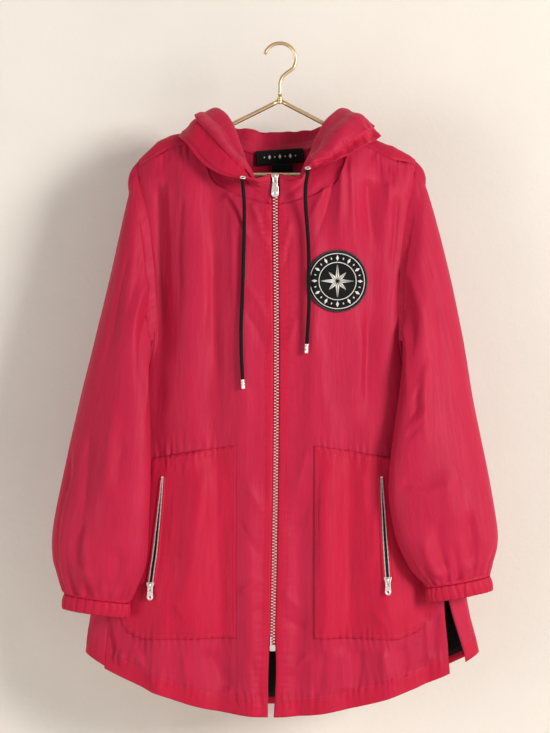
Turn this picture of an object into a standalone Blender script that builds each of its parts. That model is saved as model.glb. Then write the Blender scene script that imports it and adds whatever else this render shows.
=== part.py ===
"""Hooded windbreaker hanging on a wire hanger, modelled as its sewn pieces.

Units are metres, +Z up, and the front of the garment faces -Y.
The origin is where the hanger's hook bears on its rail.
Heights are written as drops: distances below that point.
Left and right are the wearer's, so left is +X.
"""

import math

import bmesh
import bpy
import numpy as np

# Driving dimensions
CLOTH = 0.0011
SEAM_GAP = 0.0005
GARMENT_X = -0.007
SIDES = {"left": 1, "right": -1}

# Body tube: half widths and depths of its rounded sections
BODY_COLUMNS = ("drop", "right_reach", "left_reach", "front_depth", "back_depth")
BODY_ROWS = (
    (0.090, 0.2000, 0.2060, 0.042, 0.030),
    (0.180, 0.2000, 0.2060, 0.046, 0.034),
    (0.250, 0.1900, 0.1940, 0.050, 0.036),
    (0.330, 0.1860, 0.1880, 0.054, 0.036),
    (0.415, 0.1920, 0.1940, 0.056, 0.036),
    (0.500, 0.2100, 0.2120, 0.056, 0.036),
    (0.580, 0.2280, 0.2320, 0.055, 0.036),
    (0.700, 0.2480, 0.2580, 0.054, 0.036),
    (0.800, 0.2600, 0.2740, 0.052, 0.035),
    (0.860, 0.2674, 0.2884, 0.050, 0.034),
    (0.950, 0.2720, 0.2940, 0.050, 0.034),
)
ROUNDNESS = 2.4

# Shoulder line over the hanger's arms
NECK_PEAK_DROP = 0.068
SHOULDER_SLOPE = 0.46
SHOULDER_END_X = 0.165
SHOULDER_END_SLOPE = 0.5
SHOULDER_ROUND = 0.090

# Front edges at the zip, and the hem
ZIP_LINE_COLUMNS = ("drop", "x", "half_gap")
ZIP_LINE_ROWS = (
    (0.190, 0.000, 0.0042),
    (0.420, 0.002, 0.0042),
    (0.600, 0.001, 0.0042),
    (0.720, -0.001, 0.0042),
    (0.843, -0.0035, 0.0044),
    (0.870, -0.0038, 0.0052),
    (0.960, -0.0066, 0.0032),
)
ZIP_TOP_DROP = 0.2012
ZIP_END_DROP = 0.843
FRONT_HEM_DROP = 0.9394
BACK_HEM_DROP = 0.936
HEM_RISE = 0.081
HEM_CURVE = 1.9
HEM_FACING = 0.030
LINING_GAP = 0.0030

# Seams, as turns round the body in degrees: 0 is centre front, 180 centre back
SIDE_SEAM_TURN = 60.0
SIDE_SEAM_GAP_TURN = 0.22
VENT_TOP_DROP = 0.745
VENT_LOW_DROP = 0.860
VENT_SPREAD = {"left": 6.0, "right": 0.9}
VENT_BACK_SHARE = 0.8
UNDERARM_DROP = 0.415
ARMHOLE_COLUMNS = ("drop", "front_turn", "back_turn")
ARMHOLE_ROWS = (
    (0.150, 74.0, 106.0),
    (0.180, 73.0, 107.0),
    (0.250, 70.0, 110.0),
    (0.330, 66.0, 110.0),
    (0.380, 63.0, 98.0),
    (0.405, 61.0, 80.0),
    (0.415, 60.0, 60.0),
)
NECKLINE_COLUMNS = ("x", "drop")
NECKLINE_ROWS = (
    (0.0042, 0.2296),
    (0.0310, 0.2226),
    (0.0670, 0.2080),
    (0.0940, 0.1790),
    (0.1060, 0.1320),
)
YOKE_SEAM_DROP = 0.132
YOKE_SEAM_SLOPE = 0.565
YOKE_BACK_DROP = 0.240
YOKE_NECK_X = 0.100
YOKE_ROWS = 7
YOKE_SHOULDER_X = 0.104
YOKE_SHOULDER_COUNT = 6
YOKE_BACK_X = 0.098
YOKE_BACK_COUNT = 11
YOKE_END_GAP = 0.0020
YOKE_CORNER_X = 0.110
YOKE_CORNER_ANGLE = -0.12
NECK_BACK_DROP = 0.150
NECK_BACK_RISE = 0.035

# Net of a front: columns from the zip to the pocket's edge, its zip and the side seam,
# and rows from the neckline to the underarm, the pocket's top, its bottom and the hem
FRONT_COLUMN_COUNTS = (3, 8, 3)
FRONT_ROW_COUNTS = (5, 4, 6, 4)
BACK_COLUMNS = 20
BACK_ROW_COUNTS = (4, 10)
GUIDES = (0, 1, 2, 3)

# Patch pockets with a slanted zip
POCKET_INNER_X = 0.054
POCKET_TOP_COLUMNS = ("x", "drop")
POCKET_TOP_ROWS = ((0.000, 0.556), (0.054, 0.563), (0.130, 0.574), (0.240, 0.592))
POCKET_LOW_COLUMNS = ("x", "drop")
POCKET_LOW_ROWS = ((0.000, 0.829), (0.160, 0.832), (0.182, 0.822), (0.230, 0.752))
POCKET_ZIP_COLUMNS = ("drop", "right_x", "left_x")
POCKET_ZIP_ROWS = (
    (0.150, 0.150, 0.150),
    (0.400, 0.148, 0.142),
    (0.6076, 0.1554, 0.1470),
    (0.7686, 0.1722, 0.1554),
    (0.950, 0.195, 0.175),
)
POCKET_ZIP_SPAN = (0.6076, 0.7686)
POCKET_ZIP_STEPS = 9
POCKET_ZIP_LIFT = 0.0014
POCKET_ZIP_WALL = 0.0012
POCKET_GUIDE_X = (0.0, POCKET_INNER_X, 0.155, 0.215)

# Largest folds on the body, as ridges (+) and troughs (-) that run down the cloth
FOLD_COLUMNS = ("top_x", "top_drop", "low_x", "low_drop", "width", "height")
FRONT_FOLD_ROWS = (
    (-0.150, 0.130, -0.165, 0.560, 0.016, -0.007),
    (-0.118, 0.150, -0.122, 0.560, 0.018, 0.006),
    (-0.088, 0.170, -0.085, 0.600, 0.014, -0.006),
    (-0.048, 0.210, -0.044, 0.620, 0.014, 0.004),
    (-0.112, 0.520, -0.118, 0.960, 0.020, 0.006),
    (-0.078, 0.540, -0.074, 1.020, 0.016, -0.008),
    (-0.150, 0.720, -0.170, 1.020, 0.018, 0.007),
    (-0.036, 0.600, -0.032, 1.020, 0.013, 0.006),
    (0.142, 0.120, 0.132, 0.540, 0.016, -0.007),
    (0.106, 0.140, 0.098, 0.300, 0.016, 0.005),
    (0.056, 0.200, 0.050, 0.640, 0.013, 0.005),
    (0.078, 0.480, 0.066, 0.960, 0.016, 0.006),
    (0.104, 0.500, 0.102, 1.020, 0.018, -0.007),
    (0.150, 0.640, 0.160, 1.040, 0.020, 0.007),
    (0.034, 0.640, 0.030, 1.020, 0.012, -0.006),
    (0.205, 0.680, 0.215, 1.020, 0.014, -0.005),
)
BACK_FOLD_ROWS = (
    (-0.130, 0.260, -0.160, 1.020, 0.022, 0.006),
    (-0.070, 0.300, -0.078, 1.020, 0.020, -0.007),
    (-0.012, 0.280, -0.006, 1.020, 0.020, 0.006),
    (0.060, 0.300, 0.066, 1.020, 0.022, -0.006),
    (0.120, 0.260, 0.150, 1.020, 0.020, 0.006),
)

# Sleeves: each row is one ring, from the top of the arm to its underside
SLEEVE_COLUMNS = ("top_x", "top_drop", "top_y", "under_x", "under_drop", "under_y", "thick")
SLEEVE_ROWS = {
    "right": (
        (0.2120, 0.2360, 0.000, 0.178, 0.446, -0.030, 0.034),
        (0.2310, 0.3248, -0.004, 0.174, 0.500, -0.050, 0.034),
        (0.2534, 0.4228, -0.012, 0.172, 0.552, -0.064, 0.033),
        (0.2730, 0.5068, -0.022, 0.172, 0.600, -0.068, 0.033),
        (0.2926, 0.5978, -0.030, 0.174, 0.655, -0.068, 0.034),
        (0.3075, 0.6748, -0.034, 0.176, 0.708, -0.066, 0.035),
        (0.3090, 0.7150, -0.036, 0.181, 0.738, -0.062, 0.033),
        (0.3020, 0.7480, -0.037, 0.190, 0.763, -0.058, 0.028),
        (0.2954, 0.7686, -0.038, 0.1974, 0.780, -0.056, 0.024),
    ),
    "left": (
        (0.2230, 0.2360, 0.000, 0.178, 0.440, -0.030, 0.034),
        (0.2457, 0.3248, -0.004, 0.172, 0.490, -0.050, 0.034),
        (0.2646, 0.4228, -0.012, 0.164, 0.545, -0.064, 0.033),
        (0.2772, 0.5068, -0.022, 0.158, 0.595, -0.070, 0.033),
        (0.2954, 0.5978, -0.030, 0.158, 0.640, -0.070, 0.034),
        (0.3073, 0.6678, -0.034, 0.167, 0.690, -0.068, 0.035),
        (0.3095, 0.7028, -0.036, 0.183, 0.728, -0.064, 0.033),
        (0.3038, 0.7280, -0.037, 0.198, 0.748, -0.060, 0.028),
        (0.3010, 0.7434, -0.038, 0.2058, 0.7588, -0.058, 0.024),
    ),
}
SLEEVE_CLEARANCE = 0.011
SLEEVE_RINGS = 14
SLEEVE_AROUND = 40
SLEEVE_JOIN = 1.6
ARMHOLE_EASE = 0.006
ARMHOLE_TOP_GAP = 0.0004
SLEEVE_GATHERS = 13
SLEEVE_GATHER_HEIGHT = 0.0034
SLEEVE_GATHER_START = 0.72
SLEEVE_GATHER_SPREAD = 0.3
CUFF_HEIGHT = 0.020
CUFF_SEAM = 0.0022
CUFF_GATHERS = 26
CUFF_GATHER_STEPS = 4
CUFF_GATHER_HEIGHT = 0.0010
CUFF_WALL = 0.0010
CUFF_TOP_DRAW = 0.93
CUFF_LOW_DRAW = 0.95

# Hood, pushed back off the neck: each row is one section from the neck seam outwards
HOOD_COLUMNS = (
    "seam_x", "seam_drop", "seam_turn",
    "crest_x", "crest_y", "crest_drop",
    "low_x", "low_y", "low_drop",
    "edge_x", "edge_y", "edge_drop", "belly",
)
HOOD_ROWS = (
    (0.0085, 0.2290, 0, 0.0085, -0.0500, 0.212, 0.0088, -0.0530, 0.199, 0.0092, -0.0570, 0.187, 0.000),
    (0.0310, 0.2222, 0, 0.0280, -0.0500, 0.203, 0.0290, -0.0580, 0.194, 0.0310, -0.0690, 0.194, 0.000),
    (0.0550, 0.2130, 0, 0.0390, -0.0440, 0.176, 0.0440, -0.0640, 0.173, 0.0520, -0.0740, 0.189, 0.000),
    (0.0800, 0.1965, 0, 0.0490, -0.0340, 0.150, 0.0640, -0.0610, 0.154, 0.0780, -0.0680, 0.181, 0.000),
    (0.0960, 0.1715, 0, 0.0620, -0.0180, 0.117, 0.0850, -0.0480, 0.128, 0.1020, -0.0560, 0.165, 0.000),
    (0.1040, 0.1400, 0, 0.0790, 0.0030, 0.095, 0.1060, -0.0260, 0.107, 0.1240, -0.0390, 0.142, 0.000),
    (0.1010, 0.1150, 90, 0.0900, 0.0280, 0.091, 0.1150, 0.0040, 0.098, 0.1340, -0.0040, 0.121, 0.000),
    (0.0860, 0.1200, 180, 0.0800, 0.0500, 0.104, 0.1060, 0.0560, 0.130, 0.1240, 0.0460, 0.112, 0.003),
    (0.0500, 0.1380, 180, 0.0480, 0.0520, 0.117, 0.0760, 0.0700, 0.285, 0.0800, 0.0780, 0.135, 0.011),
    (0.0000, 0.1500, 180, 0.0000, 0.0540, 0.121, 0.0000, 0.0720, 0.350, 0.0000, 0.0840, 0.152, 0.013),
)
HOOD_SPREAD = {"left": 1.10, "right": 1.00}
HOOD_SIDE_ROWS = 7
HOOD_STEPS = 2
HOOD_PROFILE = 11
HOOD_PARTING = 0.08
HOOD_CREST_SHARE = 0.55
HOOD_SEAM_RISE = 0.0030
HOOD_SEAM_INSET = 0.955

# Trim
CORD_DIAMETER = 0.0052
CORD_COLUMNS = ("x", "drop", "lift")
CORD_ROWS = {
    "right": (
        (-0.0441, 0.1960, 0.0300), (-0.0432, 0.2080, 0.0250), (-0.0420, 0.2250, 0.0160),
        (-0.0420, 0.2500, 0.0090), (-0.0424, 0.2800, 0.0065), (-0.0434, 0.3200, 0.0060),
        (-0.0446, 0.3600, 0.0060), (-0.0462, 0.4000, 0.0060), (-0.0458, 0.4400, 0.0060),
        (-0.0441, 0.4720, 0.0062),
    ),
    "left": (
        (0.0448, 0.1830, 0.0310), (0.0428, 0.1960, 0.0290), (0.0413, 0.2080, 0.0240),
        (0.0416, 0.2300, 0.0150), (0.0440, 0.2600, 0.0090), (0.0458, 0.2900, 0.0082),
        (0.0462, 0.3300, 0.0082), (0.0462, 0.3700, 0.0082), (0.0448, 0.4000, 0.0075),
        (0.0434, 0.4230, 0.0066),
    ),
}
CORD_STEPS = 26
CORD_TIP_LENGTH = 0.0130
CORD_TIP_WALL = 0.0004
CORD_TIP_GAP = 0.0004
EYELET_RADIUS = 0.0046
EYELET_WIRE = 0.0010
EYELET_LEAN = 75.0
EYELETS = {"right": (-0.0441, -0.0790, -0.1900), "left": (0.0452, -0.0790, -0.1770)}
BADGE_X = 0.0861
BADGE_DROP = 0.3355
BADGE_RADIUS = 0.0432
BADGE_LIFT = 0.0012
BADGE_THICKNESS = 0.0016
BADGE_SIDES = 28
BADGE_RINGS = (0.35, 0.70, 1.00)
LABEL_SIZE = (0.068, 0.0010, 0.0205)
LABEL_X = 0.0070
LABEL_Y = 0.0270
LABEL_DROP = 0.1545
LABEL_TILT = math.radians(-3.6)
SIZE_LABEL_SIZE = (0.029, 0.0010, 0.0200)
SIZE_LABEL_X = 0.0105
SIZE_LABEL_Y = 0.0250
SIZE_LABEL_DROP = 0.1745

# Zip hardware
CHAIN_WIDTH = 0.0060
CHAIN_THICKNESS = 0.0022
CHAIN_PROUD = 0.0006
CHAIN_STEPS = 22
MAIN_SLIDER_DROP = 0.1905
SLIDER_STAND = 0.0052
POCKET_SLIDER_DROP = {"right": 0.7555, "left": 0.7475}
POCKET_SLIDER_STAND = 0.0105
MAIN_PULL = {"width": 0.0105, "length": 0.0290}
POCKET_PULL = {"width": 0.0085, "length": 0.0210}
PULL_THICKNESS = 0.0016
PULL_EYE = (0.0023, 0.0010, 0.0070)
PULL_NECK_SHARE = 0.8
PULL_ROUND_STEPS = 8
SLIDER_SIZE = (0.0104, 0.0040, 0.0130)
SLIDER_DROP = 0.0030
SLIDER_BEVEL = 0.0012
BRIDGE_WIDTH = 0.0026
BRIDGE_CLEAR = 0.0019
BRIDGE_WALL = 0.0013
BRIDGE_ROOT = 0.0010

# Hanger
WIRE_RADIUS = 0.0026
ARM_RADIUS = 0.0031
BAR_RADIUS = 0.0033
HOOK_RADIUS = 0.0224
HOOK_TIP_ANGLE = 163.0
HOOK_LAST_ANGLE = -38.0
HOOK_STEPS = 18
HOOK_STEM = ((0.0085, 0.0400), (0.0028, 0.0462), (0.0002, 0.0530), (0.0000, 0.0620))
HANGER_GAP = 0.0004
HANGER_APEX_DROP = 0.0784
JOINT_HALF = 0.0055
JOINT_RADIUS = 0.0052
HANGER_ARM_ENDS = {"right": (0.170, 0.1628), "left": (0.164, 0.1634)}
HANGER_BAR_DROP = 0.1834
HANGER_ARM_GAP = 0.0006
BEND_LEAD = 0.0040
BEND_INSET = 0.0010
BEND_ANGLES = (20, -15, -50, -90)

COLOURS = {
    "shell": ((0.62, 0.028, 0.075), 0.48, 0.0),
    "lining": ((0.010, 0.010, 0.012), 0.85, 0.0),
    "cord": ((0.008, 0.008, 0.009), 0.80, 0.0),
    "label": ((0.009, 0.009, 0.010), 0.70, 0.0),
    "silver": ((0.74, 0.72, 0.70), 0.28, 1.0),
    "brass": ((0.62, 0.43, 0.20), 0.30, 1.0),
}


def column(rows, names, wanted):
    """One named column of a table."""
    return np.array([row[names.index(wanted)] for row in rows], float)


def through(places, values, at):
    """A smooth curve through a table: values at rising places, read at any place."""
    slopes = np.gradient(values, places)
    at = np.clip(np.asarray(at, float), places[0], places[-1])
    i = np.clip(np.searchsorted(places, at) - 1, 0, len(places) - 2)
    step = places[i + 1] - places[i]
    t = (at - places[i]) / step
    rise = t * t * (3 - 2 * t)
    leave = t * (1 - t) ** 2
    arrive = t * t * (t - 1)
    curve = values[i] + (values[i + 1] - values[i]) * rise
    return curve + step * (slopes[i] * leave + slopes[i + 1] * arrive)


def table(rows, names, wanted, at):
    """A named column of a table, read smoothly against the table's first column."""
    return through(column(rows, names, names[0]), column(rows, names, wanted), at)


def smooth_step(value):
    value = np.clip(value, 0, 1)
    return value * value * (3 - 2 * value)


def spline(points, count):
    """Points spaced along a smooth curve through a few control points."""
    points = np.asarray(points, float)
    places = np.arange(len(points), dtype=float)
    at = np.linspace(0, len(points) - 1, count)
    return np.stack([through(places, points[:, k], at) for k in range(points.shape[1])], axis=1)


# Body surface


def shoulder_drop(x):
    """Drop of the shoulder line at a distance from the centre."""
    reach = np.abs(x)
    end = np.maximum(0, reach - SHOULDER_END_X)
    return NECK_PEAK_DROP + SHOULDER_SLOPE * reach + SHOULDER_END_SLOPE * end


def shoulder_round(x, drop):
    """How far the cloth has opened out below the shoulder line, from 0 to 1."""
    below = np.clip((drop - shoulder_drop(x)) / SHOULDER_ROUND, 0, 1)
    return np.sqrt(1 - (1 - below) ** 2)


def folds(rows, x, drop):
    """Height of the folds at a place on the body."""
    height = np.zeros(np.broadcast(x, drop).shape)
    for top_x, top_drop, low_x, low_drop, width, fold_height in rows:
        along = np.clip((drop - top_drop) / (low_drop - top_drop), 0, 1)
        middle = top_x + (low_x - top_x) * along
        fade = (4 * along * (1 - along)) ** 0.6
        height = height + fold_height * fade * np.exp(-(((x - middle) / width) ** 2))
    return height


def yoke_seam_drop(x):
    return YOKE_SEAM_DROP + YOKE_SEAM_SLOPE * (np.abs(x) - NECKLINE_ROWS[-1][0])


def body_sizes(turn, drop):
    """Half width and depth of the body tube on the side that a turn points to."""
    left = np.sin(np.radians(turn)) >= 0
    front = np.cos(np.radians(turn)) >= 0
    reach = np.where(
        left,
        table(BODY_ROWS, BODY_COLUMNS, "left_reach", drop),
        table(BODY_ROWS, BODY_COLUMNS, "right_reach", drop),
    )
    depth = np.where(
        front,
        table(BODY_ROWS, BODY_COLUMNS, "front_depth", drop),
        table(BODY_ROWS, BODY_COLUMNS, "back_depth", drop),
    )
    return reach, depth


def body_point(turn, drop, lift=0.0):
    """The outer face of the cloth, at a turn round the body and a drop."""
    turn, drop = np.broadcast_arrays(np.asarray(turn, float), np.asarray(drop, float))
    sine, cosine = np.sin(np.radians(turn)), np.cos(np.radians(turn))
    reach, depth = body_sizes(turn, drop)
    across, deep = np.abs(sine) ** (2 / ROUNDNESS), np.abs(cosine) ** (2 / ROUNDNESS)
    x = np.sign(sine) * reach * across
    depth = depth * shoulder_round(x, drop)
    y = -np.sign(cosine) * depth * deep
    normal_x = np.sign(sine) * across ** (ROUNDNESS - 1) / reach
    normal_y = -np.sign(cosine) * deep ** (ROUNDNESS - 1) / np.maximum(depth, 0.01)
    size = np.hypot(normal_x, normal_y)
    height = np.where(cosine >= 0, folds(FRONT_FOLD_ROWS, x, drop), folds(BACK_FOLD_ROWS, x, drop))
    height = height * smooth_step(np.abs(cosine) * 3) + lift
    return np.stack([x + height * normal_x / size, y + height * normal_y / size, -drop], axis=-1)


def turn_of(x, drop):
    """The turn at which the front of the body reaches a place across."""
    turn = np.where(np.asarray(x) >= 0, 45.0, -45.0)
    reach, _ = body_sizes(turn, drop)
    share = np.clip(np.abs(x) / reach, 0, 0.999)
    return np.sign(turn) * np.degrees(np.arcsin(share ** (ROUNDNESS / 2)))


def hem_drop(turn, lowest):
    across = np.abs(np.sin(np.radians(turn))) ** (2 / ROUNDNESS)
    return lowest - HEM_RISE * across ** HEM_CURVE


# Meshes


def material(name):
    found = bpy.data.materials.get(name)
    if found:
        return found
    colour, roughness, metallic = COLOURS[name]
    made = bpy.data.materials.new(name)
    made.use_nodes = True
    shader = made.node_tree.nodes["Principled BSDF"]
    shader.inputs["Base Color"].default_value = (*colour, 1.0)
    shader.inputs["Roughness"].default_value = roughness
    shader.inputs["Metallic"].default_value = metallic
    return made


def place(obj, finish):
    """Puts an object in the garment's collection, on the garment's own centre line."""
    obj.data.materials.append(material(finish))
    garment_pieces.objects.link(obj)
    obj.parent = centre_line
    return obj


def net_object(name, points, finish, wall=CLOTH, closed=False, flip=False):
    """A cloth wall on a net of points: rows by columns, closed round if it is a tube."""
    rows, columns = points.shape[:2]
    wrap = columns if closed else columns - 1
    faces = []
    for r in range(rows - 1):
        for c in range(wrap):
            after = (c + 1) % columns
            here, below = r * columns, (r + 1) * columns
            corners = (here + c, here + after, below + after, below + c)
            faces.append(corners[::-1] if flip else corners)
    mesh = bpy.data.meshes.new(name)
    mesh.from_pydata([tuple(p) for p in points.reshape(-1, 3)], [], faces)
    mesh.shade_smooth()
    obj = place(bpy.data.objects.new(name, mesh), finish)
    shell = obj.modifiers.new("wall", "SOLIDIFY")
    shell.thickness = wall
    shell.offset = -1.0
    return obj


def tube_object(name, path, radius, finish, sides=2):
    """A round cord, wire or bar along a path."""
    curve = bpy.data.curves.new(name, "CURVE")
    curve.dimensions = "3D"
    curve.bevel_depth = radius
    curve.bevel_resolution = sides
    curve.use_fill_caps = True
    line = curve.splines.new("POLY")
    line.points.add(len(path) - 1)
    for point, at in zip(line.points, path):
        point.co = (*at, 1.0)
    return place(bpy.data.objects.new(name, curve), finish)


def moved_out(points, height, flip=False):
    """A net's points moved along its own normals, so that a layer lies on another."""
    down = np.gradient(points, axis=0)
    along = np.gradient(points, axis=1)
    normal = np.cross(along, down)
    normal = normal / np.linalg.norm(normal, axis=2, keepdims=True)
    return points + normal * (-height if flip else height)


# Body panels


def spread(drop, side):
    """How far a vent's edges have parted from the side seam, in degrees."""
    open_share = np.clip((drop - VENT_TOP_DROP) / (VENT_LOW_DROP - VENT_TOP_DROP), 0, 1)
    return VENT_SPREAD[side] * open_share + SIDE_SEAM_GAP_TURN


def front_edge_turn(drop, side):
    """Turn of a front's outer edge: the armhole, and the side seam below it."""
    seam = SIDE_SEAM_TURN - spread(drop, side)
    armhole = table(ARMHOLE_ROWS, ARMHOLE_COLUMNS, "front_turn", np.minimum(drop, UNDERARM_DROP))
    return np.where(drop < UNDERARM_DROP, armhole - SIDE_SEAM_GAP_TURN, seam)


def back_edge_turn(drop, side):
    """Turn of the back's outer edge on one side."""
    seam = SIDE_SEAM_TURN + VENT_BACK_SHARE * spread(drop, side)
    armhole = table(ARMHOLE_ROWS, ARMHOLE_COLUMNS, "back_turn", np.minimum(drop, UNDERARM_DROP))
    return np.where(drop < UNDERARM_DROP, armhole + SIDE_SEAM_GAP_TURN, seam)


def stations(counts):
    """Places 0, 1, 2 ... with even steps between them."""
    parts = [np.arange(n) / n + i for i, n in enumerate(counts)]
    return np.concatenate([*parts, [float(len(counts))]])


def shoulder_end_x(side):
    """Where the shoulder line meets the armhole."""
    reach = table(BODY_ROWS, BODY_COLUMNS, f"{side}_reach", ARMHOLE_ROWS[1][0])
    turn = math.radians(ARMHOLE_ROWS[1][1])
    return float(reach * math.sin(turn) ** (2 / ROUNDNESS))


def front_top(side):
    """The top edge of a front: the neckline, then the yoke seam out to the armhole."""
    at = stations(FRONT_COLUMN_COUNTS)
    guides = (NECKLINE_ROWS[0][0], POCKET_INNER_X, POCKET_ZIP_ROWS[0][1], shoulder_end_x(side))
    x = np.interp(at, GUIDES, guides)
    neck = table(NECKLINE_ROWS, NECKLINE_COLUMNS, "drop", x)
    drop = np.where(x < NECKLINE_ROWS[-1][0], neck, yoke_seam_drop(x) + SEAM_GAP)
    return SIDES[side] * x, drop


def front_guides(side, drop):
    """Turns of a front's guide lines at a drop: zip edge, pocket edge, pocket zip and outer edge."""
    sign = SIDES[side]
    zip_x = table(ZIP_LINE_ROWS, ZIP_LINE_COLUMNS, "x", drop)
    gap = table(ZIP_LINE_ROWS, ZIP_LINE_COLUMNS, "half_gap", drop)
    pocket_zip_x = table(POCKET_ZIP_ROWS, POCKET_ZIP_COLUMNS, f"{side}_x", drop)
    return (
        turn_of(zip_x + sign * gap, drop),
        turn_of(sign * POCKET_INNER_X + 0 * drop, drop),
        turn_of(sign * pocket_zip_x, drop),
        sign * front_edge_turn(drop, side),
    )


def front_net(side):
    """Turns and drops of a front's net of points."""
    top_x, top_drop = front_top(side)
    across = stations(FRONT_COLUMN_COUNTS)
    hem_guides = [abs(float(turn)) for turn in front_guides(side, np.array(FRONT_HEM_DROP))]
    hem_turn = np.interp(across, GUIDES, hem_guides)
    hem = hem_drop(hem_turn, FRONT_HEM_DROP)
    pocket_x = np.interp(across, GUIDES, POCKET_GUIDE_X)
    pocket_top = table(POCKET_TOP_ROWS, POCKET_TOP_COLUMNS, "drop", pocket_x)
    low_x = column(POCKET_LOW_ROWS, POCKET_LOW_COLUMNS, "x")
    pocket_low = np.interp(pocket_x, low_x, column(POCKET_LOW_ROWS, POCKET_LOW_COLUMNS, "drop"))
    underarm_share = (UNDERARM_DROP - top_drop[-1]) / (pocket_top[-1] - top_drop[-1])
    underarm = top_drop + (pocket_top - top_drop) * underarm_share
    lines = np.stack([top_drop, underarm, pocket_top, pocket_low, hem])
    turns, drops = [], []
    for at in stations(FRONT_ROW_COUNTS):
        above = min(int(at), len(lines) - 2)
        drop = lines[above] + (lines[above + 1] - lines[above]) * (at - above)
        guides = np.stack(front_guides(side, drop))
        even = np.array([np.interp(a, GUIDES, guides[:, c]) for c, a in enumerate(across)])
        settled = smooth_step(at)
        turn = turn_of(top_x, drop) * (1 - settled) + even * settled
        turn[-1] = guides[-1, -1]
        turns.append(turn)
        drops.append(drop)
    return np.array(turns), np.array(drops)


def back_net():
    """Turns and drops of the back, from the left side seam round to the right one."""
    top = YOKE_BACK_DROP + SEAM_GAP
    edge_low = hem_drop(SIDE_SEAM_TURN, BACK_HEM_DROP) - HEM_FACING
    underarm_share = (UNDERARM_DROP - top) / (edge_low - top)
    shares = np.interp(stations(BACK_ROW_COUNTS), (0, 1, 2), (0, underarm_share, 1))
    across = np.linspace(0, 1, BACK_COLUMNS + 1)
    turns, drops = [], []
    for share, facing in [*((s, HEM_FACING) for s in shares), (1.0, 0.0)]:
        edge = top + (edge_low + HEM_FACING - facing - top) * share
        left, right = back_edge_turn(edge, "left"), 360 - back_edge_turn(edge, "right")
        turn = left + (right - left) * across
        turns.append(turn)
        drops.append(top + (hem_drop(turn, BACK_HEM_DROP) - facing - top) * share)
    return np.array(turns), np.array(drops)


def make_body():
    """Two fronts, the back, and the dark lining that shows inside it."""
    nets = {}
    for side, sign in SIDES.items():
        nets[side] = body_point(*front_net(side))
        net_object(f"front_{side}", nets[side], "shell", flip=sign > 0)
    back = body_point(*back_net())
    net_object("back", back, "shell", flip=True)
    lining = moved_out(back, -(CLOTH + LINING_GAP), flip=True)[BACK_ROW_COUNTS[0]:-1:2]
    net_object("lining_back", lining, "lining", flip=True)
    return nets


def yoke_start(x):
    """Angle over the shoulder at which the yoke starts: its front seam, or the back of the neck."""
    line = shoulder_drop(x)
    if abs(x) > YOKE_NECK_X:
        seam = -math.acos(1 - (yoke_seam_drop(x) - SEAM_GAP - line) / SHOULDER_ROUND)
        return seam if abs(x) > YOKE_CORNER_X else max(seam, YOKE_CORNER_ANGLE)
    neck = NECK_BACK_DROP - NECK_BACK_RISE * (abs(x) / YOKE_NECK_X) ** 2
    return math.acos(1 - (neck - line) / SHOULDER_ROUND)


def yoke_x(x, drop):
    """A place across the yoke's back, drawn in to follow the armhole."""
    side = "left" if x > 0 else "right"
    end = shoulder_end_x(side)
    turn = math.radians(float(table(ARMHOLE_ROWS, ARMHOLE_COLUMNS, "back_turn", drop)))
    reach = float(table(BODY_ROWS, BODY_COLUMNS, f"{side}_reach", drop))
    edge = reach * math.sin(turn) ** (2 / ROUNDNESS)
    past = max(0.0, abs(x) - YOKE_NECK_X) / (end - YOKE_NECK_X)
    return x - math.copysign(past * max(0.0, end - edge), x)


def make_yoke():
    """One piece over both shoulders and across the back of the neck."""
    shoulders = {}
    for side in SIDES:
        end_x = shoulder_end_x(side) - YOKE_END_GAP
        shoulders[side] = np.linspace(YOKE_SHOULDER_X, end_x, YOKE_SHOULDER_COUNT)
    middle = np.linspace(-YOKE_BACK_X, YOKE_BACK_X, YOKE_BACK_COUNT)
    across = np.concatenate([-shoulders["right"][::-1], middle, shoulders["left"]])
    points = np.zeros((YOKE_ROWS, len(across), 3))
    for c, x in enumerate(across):
        line = shoulder_drop(x)
        reach = (YOKE_BACK_DROP - SEAM_GAP - line) / SHOULDER_ROUND
        end = math.acos(1 - reach) if reach < 1 else math.pi / 2 + reach - 1
        for r, angle in enumerate(np.linspace(yoke_start(x), end, YOKE_ROWS)):
            past = max(0.0, angle - math.pi / 2)
            drop = line + SHOULDER_ROUND * (1 - math.cos(angle - past) + past)
            here = yoke_x(x, drop) if angle > 0 else x
            turn = abs(turn_of(here, drop))
            turn = turn if angle < 0 else 180 - turn
            points[r, c] = body_point(math.copysign(turn, x), drop)
            points[r, c, 0] = here
    net_object("yoke", points, "shell")


def make_pockets(nets):
    """Patch pockets: the fronts' own points inside the pocket's outline, moved out."""
    first, last = FRONT_COLUMN_COUNTS[0], sum(FRONT_COLUMN_COUNTS)
    top, low = sum(FRONT_ROW_COUNTS[:2]), sum(FRONT_ROW_COUNTS[:3])
    zip_column = FRONT_COLUMN_COUNTS[1]
    layers = {}
    for side, sign in SIDES.items():
        lifted = moved_out(nets[side], CLOTH + SEAM_GAP, flip=sign > 0)
        layers[side] = lifted[top:low + 1, first:last + 1]
        net_object(f"pocket_{side}", layers[side], "shell", flip=sign > 0)
        make_pocket_zip(side, layers[side], zip_column)
    return layers


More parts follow.
